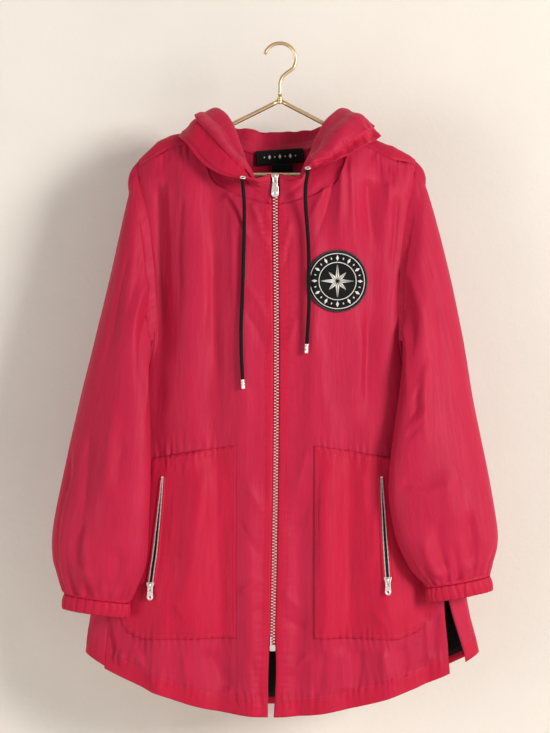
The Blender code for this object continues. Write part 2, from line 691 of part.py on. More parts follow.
def make_pocket_zip(side, layer, at):
    """The zip's two rows of teeth in a pocket: a strip beside one column of its points."""
    sign = SIDES[side]
    lifted = moved_out(layer, SEAM_GAP + POCKET_ZIP_LIFT, flip=sign > 0)
    line, inner, outer = lifted[:, at], lifted[:, at - 1], lifted[:, at + 1]
    drops = -line[:, 2]
    wanted = np.linspace(*POCKET_ZIP_SPAN, POCKET_ZIP_STEPS)

    def read(points):
        return np.stack([np.interp(wanted, drops, points[:, k]) for k in range(3)], axis=1)

    middle, inner, outer = read(line), read(inner), read(outer)
    rails = []
    for towards in (inner, outer):
        way = towards - middle
        rails.append(middle + way / np.linalg.norm(way, axis=1, keepdims=True) * CHAIN_WIDTH / 2)
    strip = np.stack([rails[0], middle, rails[1]], axis=1)
    net_object(f"pocket_zip_{side}", strip, "silver", wall=POCKET_ZIP_WALL, flip=sign > 0)


# Sleeves


def armhole_loop(side, angle):
    """A point on the armhole: 0 is the shoulder, 180 the underarm, and the front comes first."""
    sign = SIDES[side]
    top = shoulder_drop(shoulder_end_x(side)) + ARMHOLE_TOP_GAP
    drop = top + (UNDERARM_DROP - top) * (1 - np.cos(np.radians(angle))) / 2
    front = np.asarray(angle) <= 180
    turn = np.where(
        front,
        table(ARMHOLE_ROWS, ARMHOLE_COLUMNS, "front_turn", drop),
        table(ARMHOLE_ROWS, ARMHOLE_COLUMNS, "back_turn", drop),
    )
    points = body_point(sign * turn, drop)
    points = points + (points.mean(axis=0) - points) * ARMHOLE_EASE
    points[..., 0] += sign * SEAM_GAP * 2
    return points


def clear_of_body(points, room):
    """Pushes points out of the body tube, to lie at least that far off it."""
    x, y, drop = points[..., 0], points[..., 1], -points[..., 2]
    turn = np.where(y <= 0, np.where(x >= 0, 45.0, -45.0), np.where(x >= 0, 135.0, -135.0))
    reach, depth = body_sizes(turn, drop)
    depth = depth * np.maximum(shoulder_round(x, drop), 0.2)
    share = (np.abs(x) / (reach + room)) ** ROUNDNESS + (np.abs(y) / (depth + room)) ** ROUNDNESS
    scale = np.where(share < 1, np.maximum(share, 1e-3) ** (-1 / ROUNDNESS), 1.0)
    moved = points.copy()
    moved[..., 0] = x * scale
    moved[..., 1] = y * scale
    return moved


def sleeve_net(side, rings, around):
    """A sleeve's rings, from the armhole to the cuff seam."""
    sign = SIDES[side]
    rows = SLEEVE_ROWS[side]
    angle = np.arange(around) * 360 / around
    start = armhole_loop(side, angle)
    places = np.arange(1, len(rows) + 1, dtype=float)
    cosine, sine = np.cos(np.radians(angle))[:, None], np.sin(np.radians(angle))[:, None]
    net = []
    for at in np.linspace(0, len(rows), rings):
        size = {}
        for name in SLEEVE_COLUMNS:
            size[name] = through(places, column(rows, SLEEVE_COLUMNS, name), max(at, 1.0))
        top = np.array([sign * size["top_x"], size["top_y"], -size["top_drop"]])
        under = np.array([sign * size["under_x"], size["under_y"], -size["under_drop"]])
        along = (top - under) / np.linalg.norm(top - under)
        out = np.array([0.0, -1.0, 0.0])
        out = out - along * out.dot(along)
        out = out / np.linalg.norm(out)
        share = at / len(rows)
        gathered = smooth_step((share - SLEEVE_GATHER_START) / (1 - SLEEVE_GATHER_START))
        wave = SLEEVE_GATHER_HEIGHT * gathered * np.cos(np.radians(angle * SLEEVE_GATHERS))[:, None]
        thick = size["thick"] + wave
        half = (top - under) / 2 * (1 + SLEEVE_GATHER_SPREAD * wave)
        ring = (top + under) / 2 + cosine * half + sine * thick * out
        joined = smooth_step(at / SLEEVE_JOIN)
        ring = start * (1 - joined) + ring * joined
        settled = smooth_step(at)
        net.append(ring * (1 - settled) + clear_of_body(ring, SLEEVE_CLEARANCE) * settled)
    return np.array(net)


def make_sleeves():
    for side, sign in SIDES.items():
        net = sleeve_net(side, SLEEVE_RINGS, SLEEVE_AROUND)
        net_object(f"sleeve_{side}", net, "shell", closed=True, flip=sign < 0)
        make_cuff(side, net[-1])


def make_cuff(side, seam_ring):
    """A narrow band drawn in by elastic, with fine gathers."""
    around = CUFF_GATHERS * CUFF_GATHER_STEPS
    at = np.arange(around) / around * len(seam_ring)
    before = np.floor(at).astype(int)
    part = (at - before)[:, None]
    centre = seam_ring.mean(axis=0)
    plain = seam_ring[before] * (1 - part) + seam_ring[(before + 1) % len(seam_ring)] * part
    across = seam_ring[0] - seam_ring[len(seam_ring) // 2]
    down = np.array([across[2], 0.0, -across[0]]) * SIDES[side]
    down = down / np.linalg.norm(down)
    wave = np.cos(2 * np.pi * CUFF_GATHERS * np.arange(around) / around)[:, None]
    outward = (plain - centre) / np.linalg.norm(plain - centre, axis=1, keepdims=True)
    rings = []
    for reach, draw in ((CUFF_SEAM, CUFF_TOP_DRAW), (CUFF_SEAM + CUFF_HEIGHT, CUFF_LOW_DRAW)):
        ring = centre + (plain - centre) * draw + outward * wave * CUFF_GATHER_HEIGHT
        rings.append(ring + down * reach)
    flip = SIDES[side] < 0
    net_object(f"cuff_{side}", np.array(rings), "shell", wall=CUFF_WALL, closed=True, flip=flip)


# Hood


def hood_section(row, side):
    """Control points of one section of the hood, from the neck seam to its opening edge."""
    size = dict(zip(HOOD_COLUMNS, row))
    sign, wide = SIDES[side], HOOD_SPREAD[side]
    seam_turn = turn_of(sign * size["seam_x"], size["seam_drop"])
    if size["seam_turn"] == 180:
        seam_turn = sign * 180 - seam_turn
    seam_x = sign * size["seam_x"] * HOOD_SEAM_INSET
    seam = body_point(seam_turn, size["seam_drop"] - HOOD_SEAM_RISE)
    seam[0] = seam_x
    if size["seam_turn"] == 90:
        seam = np.array([seam_x, 0.0, HOOD_SEAM_RISE - shoulder_drop(size["seam_x"])])

    def at(name):
        return np.array([sign * wide * size[name + "_x"], size[name + "_y"], -size[name + "_drop"]])

    crest, low, edge = at("crest"), at("low"), at("edge")
    belly = np.array([0.0, size["belly"], 0.0])
    rise = seam + (crest - seam) * HOOD_CREST_SHARE
    return [seam, rise, crest, (crest + low) / 2 - belly, low, (low + edge) / 2 + belly, edge]


def make_hood():
    """A hood of two sides and a centre piece, lying open round the neck."""
    sections = [hood_section(row, "right") for row in HOOD_ROWS]
    sections += [hood_section(row, "left") for row in HOOD_ROWS[-2::-1]]
    profiles = np.array([spline(s, HOOD_PROFILE) for s in sections])
    places = np.arange(len(sections), dtype=float)
    last = len(sections) - 1

    def stretch(start, end):
        at = np.linspace(start, end, int(round((end - start) * HOOD_STEPS)) + 1)
        net = np.stack(
            [[through(places, profiles[:, j, k], at) for k in range(3)] for j in range(profiles.shape[1])]
        )
        return net.transpose(0, 2, 1)

    side_end, centre_start = HOOD_SIDE_ROWS - HOOD_PARTING, HOOD_SIDE_ROWS + HOOD_PARTING
    net_object("hood_right", stretch(0, side_end), "shell", flip=True)
    net_object("hood_centre", stretch(centre_start, last - centre_start), "shell", flip=True)
    net_object("hood_left", stretch(last - side_end, last), "shell", flip=True)


# Trim and zips


def front_face(x, drop, lift=0.0):
    """A point on the front of the body, moved out from the cloth."""
    return body_point(turn_of(x, drop), drop, lift)


def make_zip_chain():
    drops = np.linspace(ZIP_TOP_DROP, ZIP_END_DROP, CHAIN_STEPS)
    middle = table(ZIP_LINE_ROWS, ZIP_LINE_COLUMNS, "x", drops)
    face = front_face(middle, drops, CHAIN_PROUD)
    rails = [face + np.array([side * CHAIN_WIDTH / 2, 0.0, 0.0]) for side in (-1, 1)]
    net_object("zip_chain", np.stack(rails, axis=1), "silver", wall=CHAIN_THICKNESS, flip=True)


def as_mesh(obj):
    """Turns a curve object into a closed mesh object in the same place."""
    deps = bpy.context.evaluated_depsgraph_get()
    mesh = bpy.data.meshes.new_from_object(obj.evaluated_get(deps))
    shape = bmesh.new()
    shape.from_mesh(mesh)
    bmesh.ops.remove_doubles(shape, verts=shape.verts, dist=0.000001)
    bmesh.ops.recalc_face_normals(shape, faces=shape.faces)
    shape.to_mesh(mesh)
    shape.free()
    name = obj.name
    bpy.data.objects.remove(obj)
    return bpy.data.objects.new(name, mesh)


def flat_plate(name, outlines, thickness):
    """A flat plate in the XZ plane, from an outline and the holes inside it."""
    curve = bpy.data.curves.new(name, "CURVE")
    curve.dimensions = "2D"
    curve.fill_mode = "BOTH"
    curve.extrude = thickness / 2
    for outline in outlines:
        line = curve.splines.new("POLY")
        line.points.add(len(outline) - 1)
        line.use_cyclic_u = True
        for point, (x, z) in zip(line.points, outline):
            point.co = (x, z, 0.0, 1.0)
    flat = bpy.data.objects.new(name, curve)
    bpy.context.scene.collection.objects.link(flat)
    plate = as_mesh(flat)
    for vertex in plate.data.vertices:
        x, z, y = vertex.co
        vertex.co = (x, -y, z)
    return plate


def rectangle(half_width, low, high):
    return [(-half_width, low), (half_width, low), (half_width, high), (-half_width, high)]


def pull_outline(width, length):
    """A pull tab that hangs from the origin: straight sides, a round end and small top corners."""
    half = width / 2
    eye_half, bar, eye_low = PULL_EYE
    points = [(-eye_half - bar, bar), (eye_half + bar, bar), (half * PULL_NECK_SHARE, -eye_low)]
    for step in range(PULL_ROUND_STEPS + 1):
        angle = -math.pi * step / PULL_ROUND_STEPS
        points.append((half * math.cos(angle), -(length - half) + half * math.sin(angle)))
    points.append((-half * PULL_NECK_SHARE, -eye_low))
    return points[::-1]


def make_pull(name, size, pivot):
    """A pull tab with an eye that hooks round the slider's bridge; its origin is its axis."""
    eye_half, bar, eye_low = PULL_EYE
    eye = rectangle(eye_half, -eye_low, -bar)
    pull = flat_plate(name, [pull_outline(**size), eye], PULL_THICKNESS)
    place(pull, "silver")
    pull.location = pivot


def make_slider(name, pivot):
    """A zip slider: a rounded body with a bridge that the pull hooks round."""
    wide, deep, tall = SLIDER_SIZE
    body = bpy.data.meshes.new(name)
    shape = bmesh.new()
    bmesh.ops.create_cube(shape, size=1.0)
    bmesh.ops.scale(shape, vec=(wide, deep, tall), verts=shape.verts)
    shift = (0.0, BRIDGE_CLEAR + deep / 2, -SLIDER_DROP)
    bmesh.ops.translate(shape, vec=shift, verts=shape.verts)
    bmesh.ops.bevel(shape, geom=shape.edges, offset=SLIDER_BEVEL, segments=1, affect="EDGES")
    shape.to_mesh(body)
    shape.free()
    slider = place(bpy.data.objects.new(name, body), "silver")
    slider.location = pivot
    ring = BRIDGE_CLEAR + BRIDGE_WALL
    root = BRIDGE_CLEAR + BRIDGE_ROOT
    outer = [(-ring, -ring), (root, -ring), (root, ring), (-ring, ring)]
    inner = [(-BRIDGE_CLEAR, -BRIDGE_CLEAR), (BRIDGE_CLEAR, -BRIDGE_CLEAR)]
    inner += [(BRIDGE_CLEAR, BRIDGE_CLEAR), (-BRIDGE_CLEAR, BRIDGE_CLEAR)]
    bridge = flat_plate(name + "_bridge", [outer, inner], BRIDGE_WIDTH)
    for vertex in bridge.data.vertices:
        x, y, z = vertex.co
        vertex.co = (-y, x, z)
    shape = bmesh.new()
    shape.from_mesh(bridge.data)
    bmesh.ops.recalc_face_normals(shape, faces=shape.faces)
    shape.to_mesh(bridge.data)
    shape.free()
    bridge.location = pivot
    bridge.parent = centre_line
    bridge.hide_render = True
    bridge.display_type = "WIRE"
    cutters.objects.link(bridge)
    join = slider.modifiers.new("bridge", "BOOLEAN")
    join.operation = "UNION"
    join.object = bridge


def make_zip_pulls():
    """The main zip's slider and pull, and one of each on both pocket zips."""
    main = front_face(np.array(0.0), np.array(MAIN_SLIDER_DROP), SLIDER_STAND)
    make_slider("zip_slider", main)
    make_pull("zip_pull", MAIN_PULL, main)
    for side, sign in SIDES.items():
        drop = np.array(POCKET_SLIDER_DROP[side])
        x = sign * table(POCKET_ZIP_ROWS, POCKET_ZIP_COLUMNS, f"{side}_x", drop)
        pivot = front_face(x, drop, POCKET_SLIDER_STAND)
        make_slider(f"pocket_slider_{side}", pivot)
        make_pull(f"pocket_pull_{side}", POCKET_PULL, pivot)


def cord_path(side):
    """Centre line of a drawcord's free end, read from a smooth curve through its route."""
    route = []
    for x, drop, lift in CORD_ROWS[side]:
        route.append(front_face(np.array(x), np.array(drop), lift))
    return spline(route, CORD_STEPS)


def make_cords():
    for side in SIDES:
        path = cord_path(side)
        tube_object(f"drawcord_{side}", path, CORD_DIAMETER / 2, "cord")
        way = path[-1] - path[-2]
        way = way / np.linalg.norm(way)
        start = path[-1] + way * CORD_TIP_GAP
        tip = [start, start + way * CORD_TIP_LENGTH]
        tube_object(f"cord_tip_{side}", tip, CORD_DIAMETER / 2 + CORD_TIP_WALL, "silver", sides=3)
        bpy.ops.mesh.primitive_torus_add(
            major_radius=EYELET_RADIUS, minor_radius=EYELET_WIRE, major_segments=16, minor_segments=6)
        eyelet = bpy.context.object
        eyelet.name = f"eyelet_{side}"
        for collection in eyelet.users_collection:
            collection.objects.unlink(eyelet)
        place(eyelet, "silver")
        eyelet.location = EYELETS[side]
        eyelet.rotation_euler = (math.radians(EYELET_LEAN), 0.0, 0.0)
        eyelet.data.shade_smooth()


def make_badge():
    """A round embroidered badge that follows the left front."""
    angles = np.radians(np.arange(BADGE_SIDES) * 360 / BADGE_SIDES)
    points = []
    for share in BADGE_RINGS:
        x = BADGE_X + BADGE_RADIUS * share * np.cos(angles)
        drop = BADGE_DROP - BADGE_RADIUS * share * np.sin(angles)
        points.append(front_face(x, drop, BADGE_LIFT))
    middle = front_face(np.array(BADGE_X), np.array(BADGE_DROP), BADGE_LIFT)
    vertices = [tuple(middle)] + [tuple(p) for ring in points for p in ring]
    faces = []
    for a in range(BADGE_SIDES):
        after = (a + 1) % BADGE_SIDES
        faces.append((0, 1 + a, 1 + after))
        for r in range(len(points) - 1):
            inner, outer = 1 + r * BADGE_SIDES, 1 + (r + 1) * BADGE_SIDES
            faces.append((inner + a, outer + a, outer + after, inner + after))
    mesh = bpy.data.meshes.new("chest_badge")
    mesh.from_pydata(vertices, [], faces)
    mesh.shade_smooth()
    badge = place(bpy.data.objects.new("chest_badge", mesh), "label")
    wall = badge.modifiers.new("wall", "SOLIDIFY")
    wall.thickness = BADGE_THICKNESS
    wall.offset = 1.0


def make_label(name, size, x, y, drop, tilt):
    shape = bmesh.new()
    bmesh.ops.create_cube(shape, size=1.0)
    bmesh.ops.scale(shape, vec=size, verts=shape.verts)
    mesh = bpy.data.meshes.new(name)
    shape.to_mesh(mesh)
    shape.free()
    label = place(bpy.data.objects.new(name, mesh), "label")
    label.location = (x, y, -drop)
    label.rotation_euler = (0.0, tilt, 0.0)


# Hanger


def hook_path():
    """Centre line of the hook, from its tip over the top and down to the stem."""
    low = HOOK_RADIUS - WIRE_RADIUS
    path = []
    for step in range(HOOK_STEPS + 1):
        angle = math.radians(HOOK_TIP_ANGLE + (HOOK_LAST_ANGLE - HOOK_TIP_ANGLE) * step / HOOK_STEPS)
        path.append((HOOK_RADIUS * math.cos(angle), 0.0, HOOK_RADIUS * math.sin(angle) - low))
    path += [(x, 0.0, -drop) for x, drop in HOOK_STEM]
    path.append((0.0, 0.0, -HANGER_APEX_DROP + JOINT_HALF + HANGER_GAP))
    return path


def make_hanger():
    """A wire hanger: hook, ferrule, two sloping arms and a bar that turns up to them."""
    pieces = [tube_object("hanger_hook", hook_path(), WIRE_RADIUS, "brass")]
    joint_ends = [(0.0, 0.0, half - HANGER_APEX_DROP) for half in (JOINT_HALF, -JOINT_HALF)]
    pieces.append(tube_object("hanger_joint", joint_ends, JOINT_RADIUS, "brass", sides=3))
    bar = []
    for side, sign in SIDES.items():
        end_x, end_drop = HANGER_ARM_ENDS[side]
        slope = (end_drop - HANGER_APEX_DROP) / end_x
        start_x = JOINT_RADIUS + ARM_RADIUS * slope + HANGER_ARM_GAP
        start = (sign * start_x, 0.0, -HANGER_APEX_DROP - slope * start_x)
        end = (sign * end_x, 0.0, -end_drop)
        pieces.append(tube_object(f"hanger_arm_{side}", [start, end], ARM_RADIUS, "brass"))
        step = np.array([1.0, 0.0, -slope]) / math.hypot(1.0, slope)
        first = np.array([end_x, 0.0, -end_drop]) + step * HANGER_GAP
        middle_drop = (end_drop + HANGER_BAR_DROP) / 2 + BEND_INSET
        turn_centre = np.array([end_x - BEND_INSET, 0.0, -middle_drop])
        bend = [first, first + step * BEND_LEAD]
        radius = HANGER_BAR_DROP - middle_drop
        for angle in np.radians(BEND_ANGLES):
            bend.append(turn_centre + radius * np.array([math.cos(angle), 0.0, math.sin(angle)]))
        bend = [(sign * x, y, z) for x, y, z in bend]
        bar = bend + bar if side == "right" else bar + bend[::-1]
    pieces.append(tube_object("hanger_bar", bar, BAR_RADIUS, "brass"))
    for piece in pieces:
        piece.parent = None


def build():
    nets = make_body()
    make_yoke()
    make_pockets(nets)
    make_sleeves()
    make_hood()
    make_zip_chain()
    make_zip_pulls()
    make_cords()
    make_badge()
    make_label("neck_label", LABEL_SIZE, LABEL_X, LABEL_Y, LABEL_DROP, LABEL_TILT)
    make_label("size_label", SIZE_LABEL_SIZE, SIZE_LABEL_X, SIZE_LABEL_Y, SIZE_LABEL_DROP, LABEL_TILT)
    make_hanger()


for old in list(bpy.data.objects):
    bpy.data.objects.remove(old)
garment_pieces = bpy.data.collections.new("hooded_windbreaker")
bpy.context.scene.collection.children.link(garment_pieces)
cutters = bpy.data.collections.new("cutters")
bpy.context.scene.collection.children.link(cutters)
centre_line = bpy.data.objects.new("centre_line", None)
centre_line.location = (GARMENT_X, 0.0, 0.0)
garment_pieces.objects.link(centre_line)
build()
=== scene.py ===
"""Hooded windbreaker on a wire hanger: cloth, trim, materials, light and camera.

Metres, +Z up, front towards -Y, origin where the hook bears on its rail.
Heights are written as drops below that point; left and right are the wearer's.
"""

import math

import bmesh
import bpy
import numpy as np
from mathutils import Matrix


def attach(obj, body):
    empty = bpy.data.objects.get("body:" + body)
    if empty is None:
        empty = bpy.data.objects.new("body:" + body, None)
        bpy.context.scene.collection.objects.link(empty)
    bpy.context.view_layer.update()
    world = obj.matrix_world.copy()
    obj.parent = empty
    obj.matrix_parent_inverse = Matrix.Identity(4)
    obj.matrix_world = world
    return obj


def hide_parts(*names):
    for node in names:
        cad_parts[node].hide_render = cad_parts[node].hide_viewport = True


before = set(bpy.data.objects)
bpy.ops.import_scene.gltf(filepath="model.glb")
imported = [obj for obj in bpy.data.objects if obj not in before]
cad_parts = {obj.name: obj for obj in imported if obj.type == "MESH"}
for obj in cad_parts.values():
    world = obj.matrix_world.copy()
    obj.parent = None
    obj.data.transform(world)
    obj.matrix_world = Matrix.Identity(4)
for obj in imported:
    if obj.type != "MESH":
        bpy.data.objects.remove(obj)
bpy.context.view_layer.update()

MM = 0.001
GARMENT_X = -0.007
ON_GARMENT = np.array([GARMENT_X, 0.0, 0.0])
SIDES = {"left": 1, "right": -1}
CLOTH_WALL = 0.0006
SEAM_GAP = 0.00005

# Body tube, shoulder line, front edges and hem
BODY_COLUMNS = ("drop", "right_reach", "left_reach", "front_depth", "back_depth")
BODY_ROWS = (
    (0.090, 0.2000, 0.2060, 0.042, 0.030),
    (0.180, 0.2000, 0.2060, 0.046, 0.034),
    (0.250, 0.1900, 0.1940, 0.050, 0.036),
    (0.330, 0.1860, 0.1880, 0.054, 0.036),
    (0.415, 0.1920, 0.1940, 0.056, 0.036),
    (0.500, 0.2100, 0.2120, 0.056, 0.036),
    (0.580, 0.2280, 0.2320, 0.055, 0.036),
    (0.700, 0.2480, 0.2580, 0.054, 0.036),
    (0.800, 0.2600, 0.2740, 0.052, 0.035),
    (0.860, 0.2674, 0.2884, 0.050, 0.034),
    (0.950, 0.2720, 0.2940, 0.050, 0.034),
)
ROUNDNESS = 2.4
NECK_PEAK_DROP = 0.068
SHOULDER_SLOPE = 0.46
SHOULDER_END_X = 0.165
SHOULDER_END_SLOPE = 0.5
SHOULDER_ROUND = 0.090
ZIP_LINE_COLUMNS = ("drop", "x", "half_gap")
ZIP_LINE_ROWS = (
    (0.190, 0.000, 0.0042),
    (0.420, 0.002, 0.0042),
    (0.600, 0.001, 0.0042),
    (0.720, -0.001, 0.0042),
    (0.843, -0.0035, 0.0044),
    (0.870, -0.0038, 0.0052),
    (0.960, -0.0066, 0.0032),
)
ZIP_TOP_DROP = 0.2012
ZIP_END_DROP = 0.843
FRONT_HEM_DROP = 0.9394
BACK_HEM_DROP = 0.936
HEM_RISE = 0.081
HEM_CURVE = 1.9
HEM_FACING = 0.030
HEM_BAND = 0.024
PLACKET = 0.0115
LINING_GAP = 0.0030

# Seams, as turns round the body in degrees: 0 is centre front, 180 centre back
SIDE_SEAM_TURN = 60.0
SIDE_SEAM_GAP_TURN = 0.03
VENT_TOP_DROP = 0.745
VENT_LOW_DROP = 0.860
VENT_SPREAD = {"left": 6.0, "right": 0.0}
VENT_BACK_SHARE = 0.8
UNDERARM_DROP = 0.415
ARMHOLE_COLUMNS = ("drop", "front_turn", "back_turn")
ARMHOLE_ROWS = (
    (0.150, 74.0, 106.0),
    (0.180, 73.0, 107.0),
    (0.250, 70.0, 110.0),
    (0.330, 66.0, 110.0),
    (0.380, 63.0, 98.0),
    (0.405, 61.0, 80.0),
    (0.415, 60.0, 60.0),
)
NECKLINE_COLUMNS = ("x", "drop")
NECKLINE_ROWS = (
    (0.0042, 0.2296),
    (0.0310, 0.2226),
    (0.0670, 0.2080),
    (0.0940, 0.1790),
    (0.1060, 0.1320),
)
YOKE_SEAM_DROP = 0.132
YOKE_SEAM_SLOPE = 0.565
YOKE_BACK_DROP = 0.240
YOKE_NECK_X = 0.100
YOKE_SHOULDER_X = 0.1005
YOKE_BACK_X = 0.0995
YOKE_CORNER_X = 0.110
YOKE_CORNER_ANGLE = -0.12
NECK_BACK_DROP = 0.150
NECK_BACK_RISE = 0.035
GUIDES = (0, 1, 2, 3)

# Patch pockets
POCKET_INNER_X = 0.054
POCKET_TOP_COLUMNS = ("x", "drop")
POCKET_TOP_ROWS = ((0.000, 0.556), (0.054, 0.563), (0.130, 0.574), (0.240, 0.592))
POCKET_LOW_COLUMNS = ("x", "drop")
POCKET_LOW_ROWS = ((0.000, 0.829), (0.160, 0.832), (0.182, 0.822), (0.230, 0.752))
POCKET_ZIP_COLUMNS = ("drop", "right_x", "left_x")
POCKET_ZIP_ROWS = (
    (0.150, 0.150, 0.150),
    (0.400, 0.148, 0.142),
    (0.6076, 0.1554, 0.1470),
    (0.7686, 0.1722, 0.1554),
    (0.950, 0.195, 0.175),
)
POCKET_ZIP_SPAN = (0.6076, 0.7686)
POCKET_GUIDE_X = (0.0, POCKET_INNER_X, 0.155, 0.215)

# Large folds that run down the body, as ridges (+) and troughs (-); each row is
# top_x, top_drop, low_x, low_drop, width, height
FRONT_FOLD_ROWS = (
    (-0.150, 0.130, -0.165, 0.560, 0.016, -0.007),
    (-0.118, 0.150, -0.122, 0.560, 0.018, 0.006),
    (-0.088, 0.170, -0.085, 0.600, 0.014, -0.006),
    (-0.048, 0.210, -0.044, 0.620, 0.014, 0.004),
    (-0.112, 0.520, -0.118, 0.960, 0.020, 0.006),
    (-0.078, 0.540, -0.074, 1.020, 0.016, -0.008),
    (-0.150, 0.720, -0.170, 1.020, 0.018, 0.007),
    (-0.036, 0.600, -0.032, 1.020, 0.013, 0.006),
    (0.142, 0.120, 0.132, 0.540, 0.016, -0.007),
    (0.106, 0.140, 0.098, 0.300, 0.016, 0.005),
    (0.056, 0.200, 0.050, 0.640, 0.013, 0.005),
    (0.078, 0.480, 0.066, 0.960, 0.016, 0.006),
    (0.104, 0.500, 0.102, 1.020, 0.018, -0.007),
    (0.150, 0.640, 0.160, 1.040, 0.020, 0.007),
    (0.034, 0.640, 0.030, 1.020, 0.012, -0.006),
    (0.205, 0.680, 0.215, 1.020, 0.014, -0.005),
)
BACK_FOLD_ROWS = (
    (-0.130, 0.260, -0.160, 1.020, 0.022, 0.006),
    (-0.070, 0.300, -0.078, 1.020, 0.020, -0.007),
    (-0.012, 0.280, -0.006, 1.020, 0.020, 0.006),
    (0.060, 0.300, 0.066, 1.020, 0.022, -0.006),
    (0.120, 0.260, 0.150, 1.020, 0.020, 0.006),
)

# Sleeves: each row is one ring, from the top of the arm to its underside
SLEEVE_COLUMNS = ("top_x", "top_drop", "top_y", "under_x", "under_drop", "under_y", "thick")
SLEEVE_ROWS = {
    "right": (
        (0.2120, 0.2360, 0.000, 0.178, 0.446, -0.030, 0.034),
        (0.2310, 0.3248, -0.004, 0.174, 0.500, -0.050, 0.034),
        (0.2534, 0.4228, -0.012, 0.172, 0.552, -0.064, 0.033),
        (0.2730, 0.5068, -0.022, 0.172, 0.600, -0.068, 0.033),
        (0.2926, 0.5978, -0.030, 0.174, 0.655, -0.068, 0.034),
        (0.3075, 0.6748, -0.034, 0.176, 0.708, -0.066, 0.035),
        (0.3090, 0.7150, -0.036, 0.181, 0.738, -0.062, 0.033),
        (0.3020, 0.7480, -0.037, 0.190, 0.763, -0.058, 0.028),
        (0.2954, 0.7686, -0.038, 0.1974, 0.780, -0.056, 0.024),
    ),
    "left": (
        (0.2230, 0.2360, 0.000, 0.178, 0.440, -0.030, 0.034),
        (0.2457, 0.3248, -0.004, 0.172, 0.490, -0.050, 0.034),
        (0.2646, 0.4228, -0.012, 0.164, 0.545, -0.064, 0.033),
        (0.2772, 0.5068, -0.022, 0.158, 0.595, -0.070, 0.033),
        (0.2954, 0.5978, -0.030, 0.158, 0.640, -0.070, 0.034),
        (0.3073, 0.6678, -0.034, 0.167, 0.690, -0.068, 0.035),
        (0.3095, 0.7028, -0.036, 0.183, 0.728, -0.064, 0.033),
        (0.3038, 0.7280, -0.037, 0.198, 0.748, -0.060, 0.028),
        (0.3010, 0.7434, -0.038, 0.2058, 0.7588, -0.058, 0.024),
    ),
}
SLEEVE_CLEARANCE = 0.011
SLEEVE_JOIN = 1.6
SLEEVE_LENGTH = 0.600
CUFF_HEIGHT = 0.020
CUFF_SEAM = 0.0006
CUFF_GATHERS = 26
CUFF_DRAW = (0.985, 1.0, 1.01, 1.005, 0.995)

# Hood: each row is one section from the neck seam outwards
HOOD_COLUMNS = (
    "seam_x", "seam_drop", "seam_turn",
    "crest_x", "crest_y", "crest_drop",
    "low_x", "low_y", "low_drop",
    "edge_x", "edge_y", "edge_drop", "belly",
)
HOOD_ROWS = (
    (0.0055, 0.2290, 0, 0.0052, -0.0478, 0.212, 0.0053, -0.0486, 0.199, 0.0058, -0.0500, 0.187, 0.000),
    (0.0310, 0.2222, 0, 0.0280, -0.0500, 0.203, 0.0290, -0.0580, 0.194, 0.0310, -0.0690, 0.194, 0.000),
    (0.0550, 0.2130, 0, 0.0390, -0.0440, 0.176, 0.0440, -0.0640, 0.173, 0.0520, -0.0740, 0.189, 0.000),
    (0.0800, 0.1965, 0, 0.0490, -0.0340, 0.150, 0.0640, -0.0610, 0.154, 0.0780, -0.0680, 0.181, 0.000),
    (0.0960, 0.1715, 0, 0.0620, -0.0180, 0.117, 0.0850, -0.0480, 0.128, 0.1020, -0.0560, 0.165, 0.000),
    (0.1040, 0.1400, 0, 0.0790, 0.0030, 0.095, 0.1060, -0.0260, 0.107, 0.1240, -0.0390, 0.142, 0.000),
    (0.1010, 0.1150, 90, 0.0880, 0.0280, 0.091, 0.1080, 0.0040, 0.102, 0.1340, -0.0040, 0.129, 0.000),
    (0.0860, 0.1200, 180, 0.0780, 0.0500, 0.102, 0.0980, 0.0560, 0.130, 0.1080, 0.0460, 0.117, 0.003),
    (0.0500, 0.1380, 180, 0.0480, 0.0520, 0.117, 0.0760, 0.0700, 0.285, 0.0800, 0.0780, 0.135, 0.011),
    (0.0000, 0.1500, 180, 0.0000, 0.0540, 0.121, 0.0000, 0.0720, 0.350, 0.0000, 0.0840, 0.152, 0.013),
)
HOOD_SPREAD = {"left": 1.10, "right": 1.00}
HOOD_LIFT = {
    "left": (0.000, 0.000, 0.008, 0.011, 0.009, 0.002, 0.000, 0.000, 0.000, 0.000),
    "right": (0.000, -0.004, -0.007, -0.007, -0.006, -0.001, 0.000, 0.000, 0.000, 0.000),
}
HOOD_SIDE_ROWS = 7
HOOD_TUCK = 0.0060
HOOD_TUCK_LIFT = 0.0016
HOOD_CREST_SHARE = 0.55

# Trim
CORD_DIAMETER = 0.0052
CORD_ROWS = {
    "right": (
        (-0.0441, 0.1960, 0.0300), (-0.0432, 0.2080, 0.0250), (-0.0420, 0.2250, 0.0160),
        (-0.0420, 0.2500, 0.0090), (-0.0424, 0.2800, 0.0065), (-0.0434, 0.3200, 0.0060),
        (-0.0446, 0.3600, 0.0060), (-0.0462, 0.4000, 0.0060), (-0.0458, 0.4400, 0.0060),
        (-0.0441, 0.4720, 0.0062),
    ),
    "left": (
        (0.0448, 0.1830, 0.0310), (0.0428, 0.1960, 0.0290), (0.0413, 0.2080, 0.0240),
        (0.0416, 0.2300, 0.0150), (0.0440, 0.2600, 0.0090), (0.0458, 0.2900, 0.0082),
        (0.0462, 0.3300, 0.0082), (0.0462, 0.3700, 0.0082), (0.0448, 0.4000, 0.0075),
        (0.0434, 0.4230, 0.0066),
    ),
}
CORD_STEPS = 26
CORD_TIP_LENGTH = 0.0130
EYELETS = {"right": (-0.0441, -0.0785, -0.1950), "left": (0.0450, -0.0785, -0.1822)}
EYELET_LEAN = 28.0
BADGE_X = 0.0861
BADGE_DROP = 0.3355
BADGE_RADIUS = 0.0432
BADGE_LIFT = 0.0018

